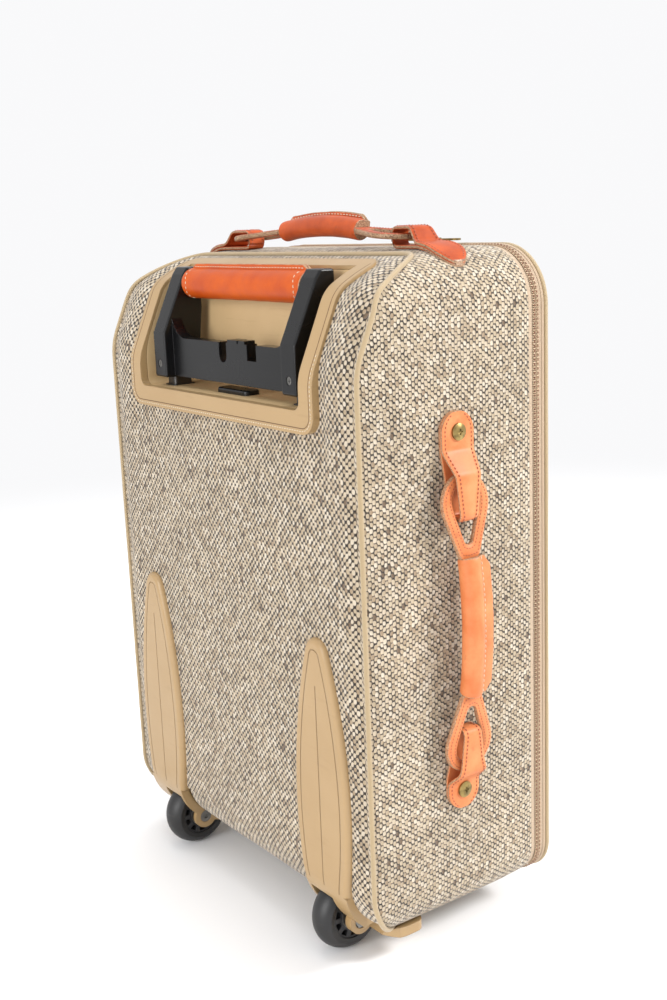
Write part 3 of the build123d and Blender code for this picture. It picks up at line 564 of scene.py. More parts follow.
def leather(name, light, deep, edge, gloss=0.42):
    """Vegetable-tanned leather: pores, mottling, faint creases, and worn, darker cut edges."""
    g = Graph(name, rough=gloss)
    p = g.place()
    mottle = g.noise(p, 38.0, 5.0, 0.62)
    fine = g.noise(p, 420.0, 3.0)
    creases = g.node("ShaderNodeTexVoronoi", p, 0.0, 950.0, feature="DISTANCE_TO_EDGE")
    colour = g.mix(g.span(mottle, 0.34, 0.66), deep, light)
    colour = g.mix(g.span(fine, 0.55, 0.8, 0.0, 0.35), colour, deep)
    spots = g.noise(p, 95.0, 1.0)
    colour = g.mix(g.span(spots, 0.70, 0.78, 0.0, 0.35), colour, edge)
    worn = g.attribute("edge")
    ragged = g.maths("ADD", worn, g.span(g.noise(p, 700.0, 3.0), 0.3, 0.7, -0.22, 0.22))
    raw = g.mix(g.span(g.noise(p, 1500.0, 2.0), 0.35, 0.65), edge, rgb(214, 176, 138))
    colour = g.mix(g.span(ragged, 0.45, 0.8), colour, raw)
    g.set("Base Color", colour)
    g.set("Roughness", g.span(mottle, 0.3, 0.7, gloss - 0.06, gloss + 0.14))
    g.set("Specular IOR Level", 0.28)
    g.set("Coat Weight", 0.05)
    g.set("Coat Roughness", 0.3)
    relief = g.maths("ADD", g.maths("MULTIPLY", creases, 0.6), g.maths("MULTIPLY", fine, 0.9))
    g.set("Normal", g.bump(relief, 0.12, 0.6))
    return g.material


def moulded(name, colour, mark, rough=0.4, grain_mm=0.5, edge_mm=0.8, dirt=0.25, coat=0.0, shine=0.5):
    """Moulded plastic with a fine texture, soft edges, faint streaks and rubbed-in dirt."""
    g = Graph(name, rough=rough)
    p = g.place()
    stipple = g.noise(p, 1 / (grain_mm * MM), 2.0)
    cloud = g.noise(p, 16.0, 4.0)
    streak = g.noise(g.stretched(p, 30.0, 30.0, 260.0), 1.0, 3.0)
    tone = g.mix(g.span(cloud, 0.35, 0.7, 0.0, dirt), colour, mark)
    tone = g.mix(g.span(streak, 0.62, 0.75, 0.0, dirt), tone, mark)
    g.set("Base Color", tone)
    g.set("Roughness", g.span(cloud, 0.3, 0.7, rough - 0.05, rough + 0.1))
    g.set("Coat Weight", coat)
    g.set("Specular IOR Level", shine)
    g.set("Normal", g.bump(stipple, 0.06, 0.5, g.rounded_edges(edge_mm)))
    return g.material


def metal(name, colour, rough, edge_mm=0.3, tarnish=None):
    """Metal with fine brushing and, where given, a tarnish in random patches."""
    g = Graph(name, rough=rough, metal=1.0)
    p = g.place()
    cloud = g.noise(p, 180.0, 4.0)
    tone = g.mix(g.span(cloud, 0.4, 0.7), colour, tarnish or colour)
    brush = g.noise(g.stretched(p, 400.0, 400.0, 4000.0), 1.0, 2.0)
    g.set("Base Color", tone)
    g.set("Roughness", g.span(cloud, 0.3, 0.7, rough, rough + 0.18))
    g.set("Normal", g.bump(brush, 0.03, 0.4, g.rounded_edges(edge_mm)))
    return g.material


def webbing(name, colour, dark, rib_mm):
    """Ribbed tape: ridges across the tape with a herringbone of two shades."""
    g = Graph(name, rough=0.8)
    u, v, _ = g.split(g.uv())
    rib = g.maths("SINE", g.maths("MULTIPLY", u, 2 * pi / (rib_mm * MM)))
    row = g.maths("SINE", g.maths("MULTIPLY", v, 2 * pi / (rib_mm * 0.9 * MM)))
    woven = g.maths("MULTIPLY", rib, row)
    g.set("Base Color", g.mix(g.span(woven, -0.5, 0.7), dark, colour))
    g.set("Sheen Weight", 0.2)
    g.set("Normal", g.bump(woven, 0.3, 0.7))
    return g.material


TWEED = tweed("tweed", 2.56, 2.8, 0.28, 0.34)
TWEED_SIDE = tweed("tweed_side", 2.94, 2.25, 0.26, 0.41)
LINING = cloth("lining", rgb(148, 126, 98), 0.5, quilt_mm=38.0)
PIPING_CLOTH = cloth("piping_cloth", rgb(196, 171, 130), 0.45, dark=0.86, rough=0.6)
ZIP_TAPE = webbing("zip_tape", rgb(234, 208, 178), rgb(200, 172, 140), 0.9)
ZIP_TOOTH = moulded("zip_tooth", rgb(206, 178, 144), rgb(160, 130, 100), rough=0.4, edge_mm=0.2)
THREAD_PALE = cloth("thread_pale", rgb(240, 224, 196), 0.3)
THREAD_RUST = cloth("thread_rust", rgb(176, 84, 50), 0.3)
THREAD_KHAKI = cloth("thread_khaki", rgb(170, 134, 92), 0.3)
THREAD_BROWN = cloth("thread_brown", rgb(142, 84, 60), 0.3)
LEATHER_GRIP = leather("leather_grip", rgb(212, 92, 14), rgb(190, 72, 8), rgb(120, 58, 30))
LEATHER_SIDE = leather("leather_side", rgb(238, 152, 98), rgb(222, 124, 70), rgb(142, 82, 50), 0.5)
LEATHER_TOP = leather("leather_top", rgb(208, 92, 38), rgb(168, 66, 26), rgb(84, 46, 30), 0.4)
TAN_PLASTIC = moulded("tan_plastic", rgb(182, 150, 104), rgb(162, 130, 86), rough=0.4, edge_mm=1.2, coat=0.22)
# The handle tub's tan sheet: its own tan, made lighter as painted light to brighten the shaded recess.
TAN_SHEET_PAINTED_LIGHT = moulded("tan_sheet_painted_light", rgb(224, 192, 142), rgb(196, 164, 118), rough=0.5, grain_mm=0.9, dirt=0.4)
BLACK_PLASTIC = moulded("black_plastic", rgb(10, 10, 11), rgb(26, 26, 28), rough=0.24, dirt=0.35, shine=0.36)
TYRE_BLACK = moulded("tyre_black", rgb(24, 24, 25), rgb(60, 58, 56), rough=0.45, grain_mm=0.7, dirt=0.5)
HUB_BLACK = moulded("hub_black", rgb(34, 34, 36), rgb(60, 58, 56), rough=0.5)
# The bezel groove's dark brown is painted shade: a flush strip that stands in for the shade inside a groove.
GROOVE_PAINTED_SHADE = moulded("groove_painted_shade", rgb(112, 84, 54), rgb(90, 66, 42), rough=0.7, edge_mm=0.1)
FOOT_RUBBER = moulded("foot_rubber", rgb(30, 29, 28), rgb(66, 62, 58), rough=0.75, dirt=0.5)
BOARD = moulded("inner_board", rgb(60, 54, 48), rgb(40, 36, 32), rough=0.7)
BRASS = metal("antique_brass", rgb(176, 152, 96), 0.3, tarnish=rgb(112, 96, 62))
STEEL = metal("zinc_steel", rgb(150, 148, 144), 0.35)
TUBE_METAL = metal("tube_metal", rgb(96, 95, 94), 0.32, edge_mm=0.6)


# ---------------------------------------------------------------- tweed shell of the case

CLOTH_STEP = 4.5  # the widest gap between lines of a cloth's grid
UNDER_PIPING = 3.0  # how far the back panel reaches under the piping at the top corners


def panel_rise(x, s, wide, s_low, s_high):
    """How far the back panel's padding stands out at a place."""
    edge = min(wide - abs(x), s_high - s, s - s_low)
    lip = -1.6 * np.exp(-max(edge, 0) / 2.0)
    z = profile(s)[1]
    near_frame = 1 - smooth(136, 150, abs(x))
    full = 3.4 * smooth(s_low, s_low + 110, s) * (1 - 0.8 * smooth(385, 420, z) * near_frame)
    uneven = 0.5 * wobble(x, s, 3, 70) * smooth(0, 25, edge)
    return lip + full * smooth(0, 17, edge) + uneven


def make_back_panel():
    """Padded tweed from under the heel over the shoulder, open at the recess and the wheel wells."""
    s_low, s_high = 0.0, profile_s(TOP_SEAM_Y, 1)
    tub_low, tub_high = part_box("handle_tub")
    recess_x = (tub_high.x - tub_low.x) / 2 / MM
    recess_s = profile_s(tub_low.z / MM, 2)
    recess_top = profile_s((tub_low.y - SEAM_Y) / MM, 1)
    well_inner = well_inner_x()
    well_s = profile_s(WELL_TOP, 2)
    marks_s = [s_low, 1.5, 4, well_s, recess_s, recess_top, s_high - 4, s_high - 1.5, s_high]
    rows = grid_lines(marks_s, CLOTH_STEP)
    near_edge = [HALF_WIDTH - away for away in (10, 4, 1.5, 0)]
    columns = grid_lines([0, well_inner, recess_x, WELL_OUTER, *near_edge], CLOTH_STEP)
    columns = [-c for c in columns[:0:-1]] + columns
    points, normals, uv = [], [], []
    for s in rows:
        y, z, ny, nz = profile(s)
        wide = half_width(z) - SEAM_TUCK
        squeeze = [squeezed(c, wide) for c in columns]
        line = []
        for x in squeeze:
            rise = panel_rise(x, s, wide, s_low, s_high)
            line.append(np.array([x, y + ny * rise, z + nz * rise]))
        points.append(line)
        normals.append([np.array([0, ny, nz])] * len(columns))
        uv.append([(x * MM, s * MM) for x in squeeze])
    keep = []
    for s0, s1 in zip(rows, rows[1:]):
        row = []
        for a, b in zip(columns, columns[1:]):
            x, s = abs(a + b) / 2, (s0 + s1) / 2
            recess = x < recess_x and recess_s < s < recess_top
            well = well_inner < x < WELL_OUTER and s < well_s
            y, z = profile(s)[:2]
            over = squeezed(x, half_width(z) - SEAM_TUCK) - (HALF_WIDTH - TOP_CORNER)
            beyond = over > 0 and s > recess_s and y < corner_seam(over) - UNDER_PIPING
            row.append(not (recess or well or beyond))
        keep.append(row)
    piece = shell("back_panel_cloth", np.array(points), np.array(normals), uv, keep, WALL, [TWEED, LINING])
    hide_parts("back_panel")
    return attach(piece, "case")


def corner_seam(over):
    """Where the seam lies on a top corner, by the distance past the corner's start."""
    reach = min(over, TOP_CORNER)
    return seam_y(CASE_TOP - TOP_CORNER + sqrt(TOP_CORNER**2 - reach**2))


def grid_lines(marks, step):
    """Values that pass through every mark and are at most a step apart."""
    lines = []
    for a, b in zip(marks, marks[1:]):
        count = max(1, int(np.ceil((b - a) / step)))
        lines += [a + (b - a) * k / count for k in range(count)]
    return lines + [marks[-1]]


def squeezed(c, wide):
    """A column past the wheel wells, moved so that the last one ends at the case's edge."""
    if abs(c) <= WELL_OUTER:
        return c
    share = (abs(c) - WELL_OUTER) / (HALF_WIDTH - WELL_OUTER)
    return (WELL_OUTER + (wide - WELL_OUTER) * share) * (1 if c > 0 else -1)


def well_inner_x():
    """The wheel wells' inner side, just inside the skids."""
    return (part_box("skid_right")[0].x - CENTRE_X) / MM + 0.5


def make_gusset():
    """The tweed band round the case, from the piping's seam to the zipper."""
    well_inner = well_inner_x()
    ring = outline(CLOTH_STEP)
    shares = [0, 0.006, 0.02] + [k / 34 for k in range(1, 34)] + [0.985, 0.995, 1.0]
    well_share = 0.065
    points, normals, uv = [], [], []
    for x, z, nx, nz, p in ring:
        start = seam_y(z) if z > CASE_BOTTOM + 0.01 else -HEEL_RADIUS - 3
        line, places = [], []
        for f in shares:
            y = start + (GUSSET_FRONT_Y - start) * f
            edge = min(abs(y - start), abs(y - GUSSET_FRONT_Y))
            rise = -1.5 * np.exp(-edge / 2.2) + smooth(0, 30, edge) * (0.6 + 0.7 * wobble(p, y, 9, 80))
            fall = max(0.0, z - profile_top(y)) if z > CASE_TOP - TOP_CORNER else 0.0
            line.append(np.array([x + nx * rise, y, z + nz * rise - fall]))
            places.append((y * MM, p * MM))
        points.append(line)
        normals.append([np.array([nx, 0, nz])] * len(shares))
        uv.append(places)
    keep = []
    for a, b in zip(ring, ring[1:]):
        x, z = abs(a[0] + b[0]) / 2, (a[1] + b[1]) / 2
        under = z < CASE_BOTTOM + 2 and well_inner < x < WELL_OUTER
        keep.append([not (under and f < well_share) for f in shares[:-1]])
    points, normals = np.array(points), np.array(normals)
    piece = shell("gusset_cloth", points, normals, uv, keep, WALL, [TWEED_SIDE, LINING])
    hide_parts("gusset_top", "gusset_bottom", "gusset_handle_side", "gusset_hinge_side")
    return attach(piece, "case")


def profile_top(y):
    """Height of the crown above a place near the top, or the case's top in front of it."""
    return float(profile(profile_s(min(y, -20.0), 1))[1])


def seam_line(step=2.5, lift=0.4):
    """The back seam as points, from one side's foot up over the top and down to the other's."""
    points = []
    for x, z, nx, nz, _ in outline(step):
        if z < CASE_BOTTOM + 0.3:
            continue
        y = seam_y(z)
        _, _, ny, up = profile(profile_s(z, 2) if z < CASE_TOP - 1 else profile_s(y, 1))
        out = np.array([nx, ny * 0.9, nz + up * 0.3])
        out /= np.linalg.norm(out)
        top = min(z, profile_top(y)) if z > CASE_TOP - TOP_CORNER else z
        points.append(np.array([x, y, top]) + out * lift)
    return points


def cord_along(name, points, radius, material, around=10, step=2.5):
    """A sewn cord along case points, a little uneven, with its UVs round and along it."""
    points = resample(points, step)
    rings, uvs, along = [], [], 0.0
    for k, p in enumerate(points):
        ahead = points[min(k + 1, len(points) - 1)] - points[max(k - 1, 0)]
        ahead = Vector(ahead).normalized()
        side = ahead.cross(Vector((0.31, 0.52, 0.79))).normalized()
        up = side.cross(ahead)
        size = radius * (1 + 0.05 * wobble(*p, 14))
        ring = []
        for j in range(around):
            turn = 2 * pi * j / around
            spot = Vector(p) + side * cos(turn) * size + up * sin(turn) * size
            ring.append(at(*spot))
            uvs.append((j / around * 2 * pi * radius * MM, along * MM))
        rings.append(ring)
        along += step
    return loft(name, rings, material, uvs)


def make_piping():
    """The piping of the back seam, and the one round the lid's edge."""
    piece = cord_along("back_piping_cord", seam_line(), PIPING_RADIUS, PIPING_CLOTH)
    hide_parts("back_piping")
    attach(piece, "case")
    y = (LID_SEAM_Y + LID_FRONT_Y) / 2
    ring = [np.array([x, y, z]) for x, z, _, _, _ in outline(2.5, -0.6)]
    piece = cord_along("lid_piping_cord", ring, 1.9, PIPING_CLOTH)
    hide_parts("lid_piping")
    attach(piece, "lid")


make_back_panel()
make_gusset()
make_piping()


# ---------------------------------------------------------------- zipper round the case, and the lid

HINGE_LOW, HINGE_HIGH = 90.0, 486.0


def ring_path(step, grow=0.0, hinge_gap=True):
    """The outline as a path from the hinge's top round to its bottom, or the whole ring."""
    ring = outline(step, grow)[:-1]
    if not hinge_gap:
        return ring
    side = [k for k, r in enumerate(ring) if r[0] > HALF_WIDTH - 1 and HINGE_LOW < r[1] < HINGE_HIGH]
    return ring[side[-1] + 1:] + ring[:side[0]]


def band(name, ring, section, material, closed=False):
    """A closed section of (outwards, y) places swept along an outline path."""
    rings, uvs, along = [], [], 0.0
    last = ring[0]
    for r in ring:
        along += hypot(r[0] - last[0], r[1] - last[1])
        last = r
        rings.append([at(r[0] + r[2] * out, y, r[1] + r[3] * out) for out, y in section])
        uvs += [(along * MM, (y + out) * MM) for out, y in section]
    return loft(name, rings, material, uvs, closed=closed, sharp=35)


def teeth(name, ring, y0, y1, out, material):
    """Zipper coil turns lying across an outline path, as short rounded bars."""
    path = resample([(r[0] + r[2] * out, r[1] + r[3] * out, r[2], r[3]) for r in ring], COIL_PITCH)
    ends = []
    for x, z, nx, nz in path:
        ends.append((at(x, y0, z), at(x, y1, z), Vector((nx, 0, nz)), Vector((-nz, 0, nx))))
    return bars(name, ends, material)


def bars(name, ends, material, wide=1.15, tall=0.8):
    """Short bars with softened ends from one point to another: (start, end, outwards, sideways)."""
    verts, faces = [], []
    for start, end, normal, side in ends:
        first = len(verts)
        for share, size in ((0.0, 0.6), (0.12, 1.0), (0.88, 1.0), (1.0, 0.6)):
            spot = start.lerp(end, share)
            for k in range(8):
                turn = 2 * pi * k / 8
                spread = side * cos(turn) * wide / 2 * size * MM
                verts.append(spot + spread + normal * sin(turn) * tall / 2 * size * MM)
        faces += tube_faces(first, 4, 8)
    return new_piece(name, verts, faces, None, [material], sharp=60)


def make_zipper():
    """The case's and the lid's halves of the zipper: tape, coil and the thread that sews it on."""
    path = ring_path(3.0)
    back, front = GUSSET_FRONT_Y, ZIP_Y + COIL_GAP
    section = [(-0.7, back + 1.5), (-0.9, front + 2.1), (-2.4, front), (-3.4, back)]
    tape = band("zip_tape_case", path, section, ZIP_TAPE)
    coil = teeth("zip_coil_case", path, front, front + COIL, -0.2, ZIP_TOOTH)
    stitch = stitched(path, front + COIL_SEWING, 0.3)
    track = joined("zip_track_case", [tape, coil, stitch])
    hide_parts("zipper_track_case")
    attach(track, "case")
    back, front = ZIP_Y - COIL_GAP, LID_BACK_Y
    section = [(-2.4, back), (-0.9, back - 2.1), (-0.7, front - 1.2), (-3.4, front - 1.2)]
    tape = band("zip_tape_lid", path, section, ZIP_TAPE)
    coil = teeth("zip_coil_lid", path, back, back - COIL, -0.2, ZIP_TOOTH)
    stitch = stitched(path, back - COIL_SEWING, 0.3)
    track = joined("zip_track_lid", [tape, coil, stitch])
    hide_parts("zipper_track_lid")
    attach(track, "lid")


def stitched(path, y, out):
    """A row of brown stitches along an outline path."""
    line = [at(r[0] + r[2] * out, y, r[1] + r[3] * out) for r in path]
    return stitch_row("stitches", line, THREAD_BROWN, up=[Vector((r[2], 0, r[3])) for r in path])


def make_hinge_strip():
    """The cloth strip that the lid turns on, laid flat along the side between the case and the lid."""
    low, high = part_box("lid_hinge_strip")
    z0, z1 = low.z / MM - 6, high.z / MM + 6
    y0, y1 = GUSSET_FRONT_Y + 3, LID_BACK_Y - 1.5
    outer, normals, uv = [], [], []
    for i in range(3):
        z = z0 + (z1 - z0) * i / 2
        ys = [y0 + (y1 - y0) * k / 14 for k in range(15)]
        outer.append([np.array([HALF_WIDTH + 0.1, y, z]) for y in ys])
        normals.append([np.array([1, 0, 0])] * 15)
        uv.append([(y * MM, z * MM) for y in ys])
    keep = [[True] * 14] * 2
    strip = shell("hinge_cloth", np.array(outer), np.array(normals), uv, keep, 1.6, [ZIP_TAPE])
    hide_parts("lid_hinge_strip")
    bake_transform(strip)


def make_lid():
    """The lid's narrow band and its padded tweed face."""
    y0, y1 = LID_BACK_Y - 1.0, LID_SEAM_Y
    ring = ring_path(4.0, hinge_gap=False)
    section = [(-0.2, y0), (0.5, (y0 + y1) / 2), (-0.4, y1), (-WALL, y1), (-WALL, y0)]
    side = band("lid_band", ring, section, ZIP_TAPE, closed=True)
    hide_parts("lid_gusset")
    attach(side, "lid")
    inset = HALF_WIDTH - (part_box("lid_panel")[1].x - CENTRE_X) / MM
    low, high = CASE_BOTTOM + inset, CASE_TOP - inset
    rows = grid_lines([low, low + 2, low + 10, low + 30, high - 45, high - 12, high - 2, high], 6)
    shares = [-1, -0.994, -0.975, *[k / 28 for k in range(-27, 28)], 0.975, 0.994, 1]
    points, uv = [], []
    for z in rows:
        wide = half_width(z, inset)
        line = []
        for f in shares:
            x = f * wide
            edge = min(wide - abs(x), z - low, high - z)
            rise = -0.8 * np.exp(-edge / 2.0) + 1.6 * smooth(0, 22, edge) + 0.3 * wobble(x, 5, z, 60)
            line.append(np.array([x, LID_FRONT_Y + 0.2 - rise * 0.5, z]))
        points.append(line)
        uv.append([(f * wide * MM, z * MM) for f in shares])
    normals = np.zeros((len(rows), len(shares), 3))
    normals[:, :, 1] = -1
    keep = [[True] * (len(shares) - 1)] * (len(rows) - 1)
    face = shell("lid_face", np.array(points), normals, uv, keep, 3.6, [TWEED, LINING])
    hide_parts("lid_panel")
    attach(face, "lid")


def swell(piece, pinned, cap):
    """Inflates a cloth with Blender's own simulation, no further than cap allows at each point."""
    group = piece.vertex_groups.new(name="pin")
    for k, weight in enumerate(pinned):
        if weight > 0:
            group.add([k], weight, "REPLACE")
    rest = [v.co.copy() for v in piece.data.vertices]
    cloth = piece.modifiers.new("cloth", "CLOTH")
    settings = cloth.settings
    settings.quality = 6
    settings.mass = 0.3
    settings.tension_stiffness = settings.compression_stiffness = 12
    settings.bending_stiffness = 2.0
    settings.use_pressure = True
    settings.uniform_pressure_force = 2.5
    settings.vertex_group_mass = "pin"
    settings.effector_weights.gravity = 0
    settings.shrink_min = -0.012
    scene = bpy.context.scene
    for step in range(1, 21):
        scene.frame_set(step)
        bpy.context.view_layer.update()
    posed = piece.evaluated_get(bpy.context.evaluated_depsgraph_get())
    moved = [v.co.copy() for v in posed.data.vertices]
    piece.modifiers.remove(cloth)
    scene.frame_set(1)
    for k, (old, new) in enumerate(zip(rest, moved)):
        step = new - old
        limit = cap[k] * MM
        if step.length > limit:
            step = step.normalized() * limit * (1 - 0.15 * np.exp(1 - step.length / limit))
        piece.data.vertices[k].co = old + step
    piece.vertex_groups.clear()


def thicken(piece, thickness, levels=1):
    """Gives a swollen cloth its thickness and finer faces, applied."""
    if levels:
        fine = piece.modifiers.new("fine", "SUBSURF")
        fine.levels = fine.render_levels = levels
    solid = piece.modifiers.new("solid", "SOLIDIFY")
    solid.thickness = thickness * MM
    solid.offset = -1
    posed = piece.evaluated_get(bpy.context.evaluated_depsgraph_get())
    mesh = bpy.data.meshes.new_from_object(posed)
    piece.modifiers.clear()
    piece.data = mesh


def make_pocket():
    """The flat padded pocket on the lid: a stuffed tweed front with soft rounded sides."""
    low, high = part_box("front_pocket")
    half, z0, z1 = (high.x - low.x) / 2 / MM, low.z / MM, high.z / MM
    front = (low.y - SEAM_Y) / MM
    zip_low, zip_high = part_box("pocket_zipper")
    zip_z = (zip_low.z + zip_high.z) / 2 / MM
    corner, soft = 26.0, 7.0

    def half_at(z):
        over = max(z0 + corner - z, z - z1 + corner, 0)
        return half - corner + sqrt(max(corner**2 - over**2, 0))

    rows = grid_lines([z0, z0 + 3, z0 + 8, z0 + corner, z1 - corner, z1 - 8, z1 - 3, z1], 8)
    shares = [-1, -0.975, -0.94, *[k / 17 for k in range(-15, 16)], 0.94, 0.975, 1]
    verts, uvs, pinned, cap = [], [], [], []
    for z in rows:
        for f in shares:
            x = f * half_at(z)
            edge = min(half_at(z) - abs(x), z - z0, z1 - z)
            fall = soft * (1 - sqrt(1 - (1 - min(edge / soft, 1)) ** 2)) * 0.6
            verts.append(at(x, front + fall, z))
            uvs.append((x * MM, z * MM))
            calm = smooth(14, 60, abs(z - zip_z + 8))
            pinned.append(1 - smooth(10, 22, abs(z - zip_z)) if abs(x) < 124 else 0.0)
            cap.append(0.6 + 5.4 * calm * smooth(0, 30, edge))
    wide = len(shares)
    tall = len(rows)
    faces = []
    for r in range(tall - 1):
        for c in range(wide - 1):
            a = r * wide + c
            faces.append([a, a + 1, a + wide + 1, a + wide])
    loop = list(range(wide)) + [r * wide + wide - 1 for r in range(1, tall)]
    loop += [(tall - 1) * wide + c for c in range(wide - 2, -1, -1)]
    loop += [r * wide for r in range(tall - 2, 0, -1)]
    start = [verts[k].copy() for k in loop]
    middle = Vector((CENTRE_X, 0, (z0 + z1) / 2 * MM))
    depth = [front + 8, front + 13, front + 18, LID_FRONT_Y - 0.4]
    for n, y in enumerate(depth):
        first = len(verts)
        for k, p in zip(loop, start):
            away = Vector((p.x - middle.x, 0, p.z - middle.z)).normalized()
            verts.append(Vector((p.x, SEAM_Y + y * MM, p.z)))
            uvs.append((uvs[k][0] + away.x * (y - front) * MM, uvs[k][1] + away.z * (y - front) * MM))
            pinned.append(1.0 if n > 1 else 0.0)
            cap.append(1.5 if n < 2 else 0.0)
        before = loop if n == 0 else list(range(first - len(loop), first))
        for k in range(len(loop)):
            n1 = (k + 1) % len(loop)
            faces.append([before[n1], before[k], first + k, first + n1])
    pocket = new_piece("pocket_body", verts, faces, uvs, [TWEED], sharp=60)
    pocket.data.materials.append(LINING)
    swell(pocket, pinned, cap)
    tree = BVHTree.FromObject(pocket, bpy.context.evaluated_depsgraph_get())
    thicken(pocket, 2.6)
    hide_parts("front_pocket")
    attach(pocket, "lid")
    tape_half, zip_half = zip_high.z / MM - zip_z, (zip_high.x - zip_low.x) / 2 / MM
    make_pocket_trim(tree, zip_z, tape_half, zip_half, (half, z0, z1))


def on_face(tree, x, z, lift=0.0):
    """The pocket's front face at a place, seen from the front, with its normal."""
    hit, normal, _, _ = tree.ray_cast(at(x, -400, z), Vector((0, 1, 0)))
    if normal.y > 0:
        normal = -normal
    return hit + normal * lift * MM, normal


def make_pocket_trim(tree, zip_z, tape_half, zip_half, shape):
    """The pocket's zipper, its stitching, and the stitched seam round its front."""
    half, z0, z1 = shape
    section = [(-1, 0.0), (-0.97, 0.7), (-0.2, 0.7), (-0.12, 0.3)]
    section += [(-f, lift) for f, lift in section[::-1]]
    rings, uvs = [], []
    for k in range(95):
        x = -zip_half + 2 * zip_half * k / 94
        ring = []
        for f, lift in section:
            ring.append(on_face(tree, x, zip_z + f * tape_half, lift)[0])
            uvs.append((x * MM, f * tape_half * MM))
        rings.append(ring)
    tape = loft("tape", rings, ZIP_TAPE, uvs, sharp=35)
    ends = []
    for k in range(int(2 * zip_half / COIL_PITCH)):
        x = -zip_half + 1 + COIL_PITCH * k
        a, normal = on_face(tree, x, zip_z - COIL, 1.0)
        b, _ = on_face(tree, x, zip_z + COIL, 1.0)
        ends.append((a, b, normal, Vector((1, 0, 0))))
    parts = [tape, bars("coil", ends, ZIP_TOOTH)]
    for z in (zip_z - tape_half + 1.8, zip_z + tape_half - 1.8):
        spots = [on_face(tree, -zip_half + 2 + (2 * zip_half - 4) * k / 60, z, 0.75) for k in range(61)]
        points, up = zip(*spots)
        parts.append(stitch_row("stitches", points, THREAD_KHAKI, up=up))
    trim = joined("pocket_zip_track", parts)
    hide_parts("pocket_zipper")
    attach(trim, "lid")
    loop, up = [], []
    size, height, corner = half - 5, (z1 - z0) / 2 - 5, 22.0
    for k in range(241):
        turn = 2 * pi * k / 240
        reach = np.array([cos(turn), sin(turn)])
        t = min(size / max(abs(reach[0]), 1e-6), height / max(abs(reach[1]), 1e-6))
        x, z = reach * t
        over_x, over_z = abs(x) - (size - corner), abs(z) - (height - corner)
        if over_x > 0 and over_z > 0:
            span = hypot(over_x, over_z)
            x = np.sign(x) * (size - corner + over_x / span * corner)
            z = np.sign(z) * (height - corner + over_z / span * corner)
        hit, normal = on_face(tree, x, (z0 + z1) / 2 + z, 0.1)
        loop.append(hit)
        up.append(normal)
    seam = stitch_row("pocket_seam_stitches", loop, THREAD_KHAKI, up=up)
    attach(seam, "lid")


make_zipper()
make_hinge_strip()
make_lid()
make_pocket()


# ---------------------------------------------------------------- leather

def mark_edges(piece, values):
    """How worn each point is, for the leather's cut edges."""
    layer = piece.data.attributes.new("edge", "FLOAT", "POINT")
    layer.data.foreach_set("value", np.asarray(values, np.float32))
    return piece


def leather_grip(name, spine, radius, fin, fin_axis, across_axis, material, thread):
    """A wrapped leather grip along case points, its two plies sewn together in a fin."""
    reach, low, high = fin
    fin_axis, across_axis = Vector(fin_axis), Vector(across_axis)
    spine = resample(spine, 1.6)
    total = np.linalg.norm(np.diff(spine, axis=0), axis=1).sum()
    middle = (low + high) / 2
    rings, worn, seams, ups = [], [], {low: [], high: []}, {low: [], high: []}
    along = 0.0
    for k, p in enumerate(spine):
        if k:
            along += np.linalg.norm(p - spine[k - 1])
        edge = min(along, total - along)
        size = radius + 0.25 * wobble(*p, 16) - 0.9 * np.exp(-edge / 0.8)
        tall = reach - 4.5 * (1 - smooth(0, 9, edge)) + 0.3 * wobble(p[0], p[2], 4, 9)
        ahead = Vector(spine[min(k + 1, len(spine) - 1)] - spine[max(k - 1, 0)]).normalized()
        up = (fin_axis - ahead * fin_axis.dot(ahead)).normalized()
        side = up.cross(ahead)
        if side.dot(across_axis) < 0:
            side = -side
        section = []
        start = atan2(sqrt(max(size**2 - high**2, 0.5)), high)
        end = atan2(sqrt(max(size**2 - low**2, 0.5)), low) - 2 * pi
        for j in range(29):
            turn = start + (end - start) * j / 28
            section.append((sin(turn) * size, cos(turn) * size, 0.0))
        section += [
            (tall - 0.9, low, 0.3),
            (tall - 0.2, low + 0.35, 1),
            (tall, low + 0.9, 1),
            (tall, middle - 0.3, 1),
            (tall - 1.3, middle, 1),
            (tall, middle + 0.3, 1),
            (tall, high - 0.9, 1),
            (tall - 0.2, high - 0.35, 1),
            (tall - 0.9, high, 0.3),
        ]
        tip = 1.0 if edge < 0.4 else 0.0
        rings.append([at(*(Vector(p) + up * a + side * b)) for a, b, _ in section])
        worn += [max(w, tip) for _, _, w in section]
        for b, face in ((low, -1), (high, 1)):
            base = sqrt(max(size**2 - b**2, 0.5)) + 1.4
            if base < tall - 0.8:
                seams[b].append(at(*(Vector(p) + up * base + side * b)))
                ups[b].append(side * face)
    grip = mark_edges(loft(name, rings, material, sharp=50), worn)
    rows = []
    for b in (low, high):
        if len(seams[b]) > 3:
            rows.append(stitch_row("row", seams[b], thread, 2.6, 3.9, 0.45, up=ups[b]))
    sewn = joined(f"{name}_stitches", rows)
    return grip, sewn


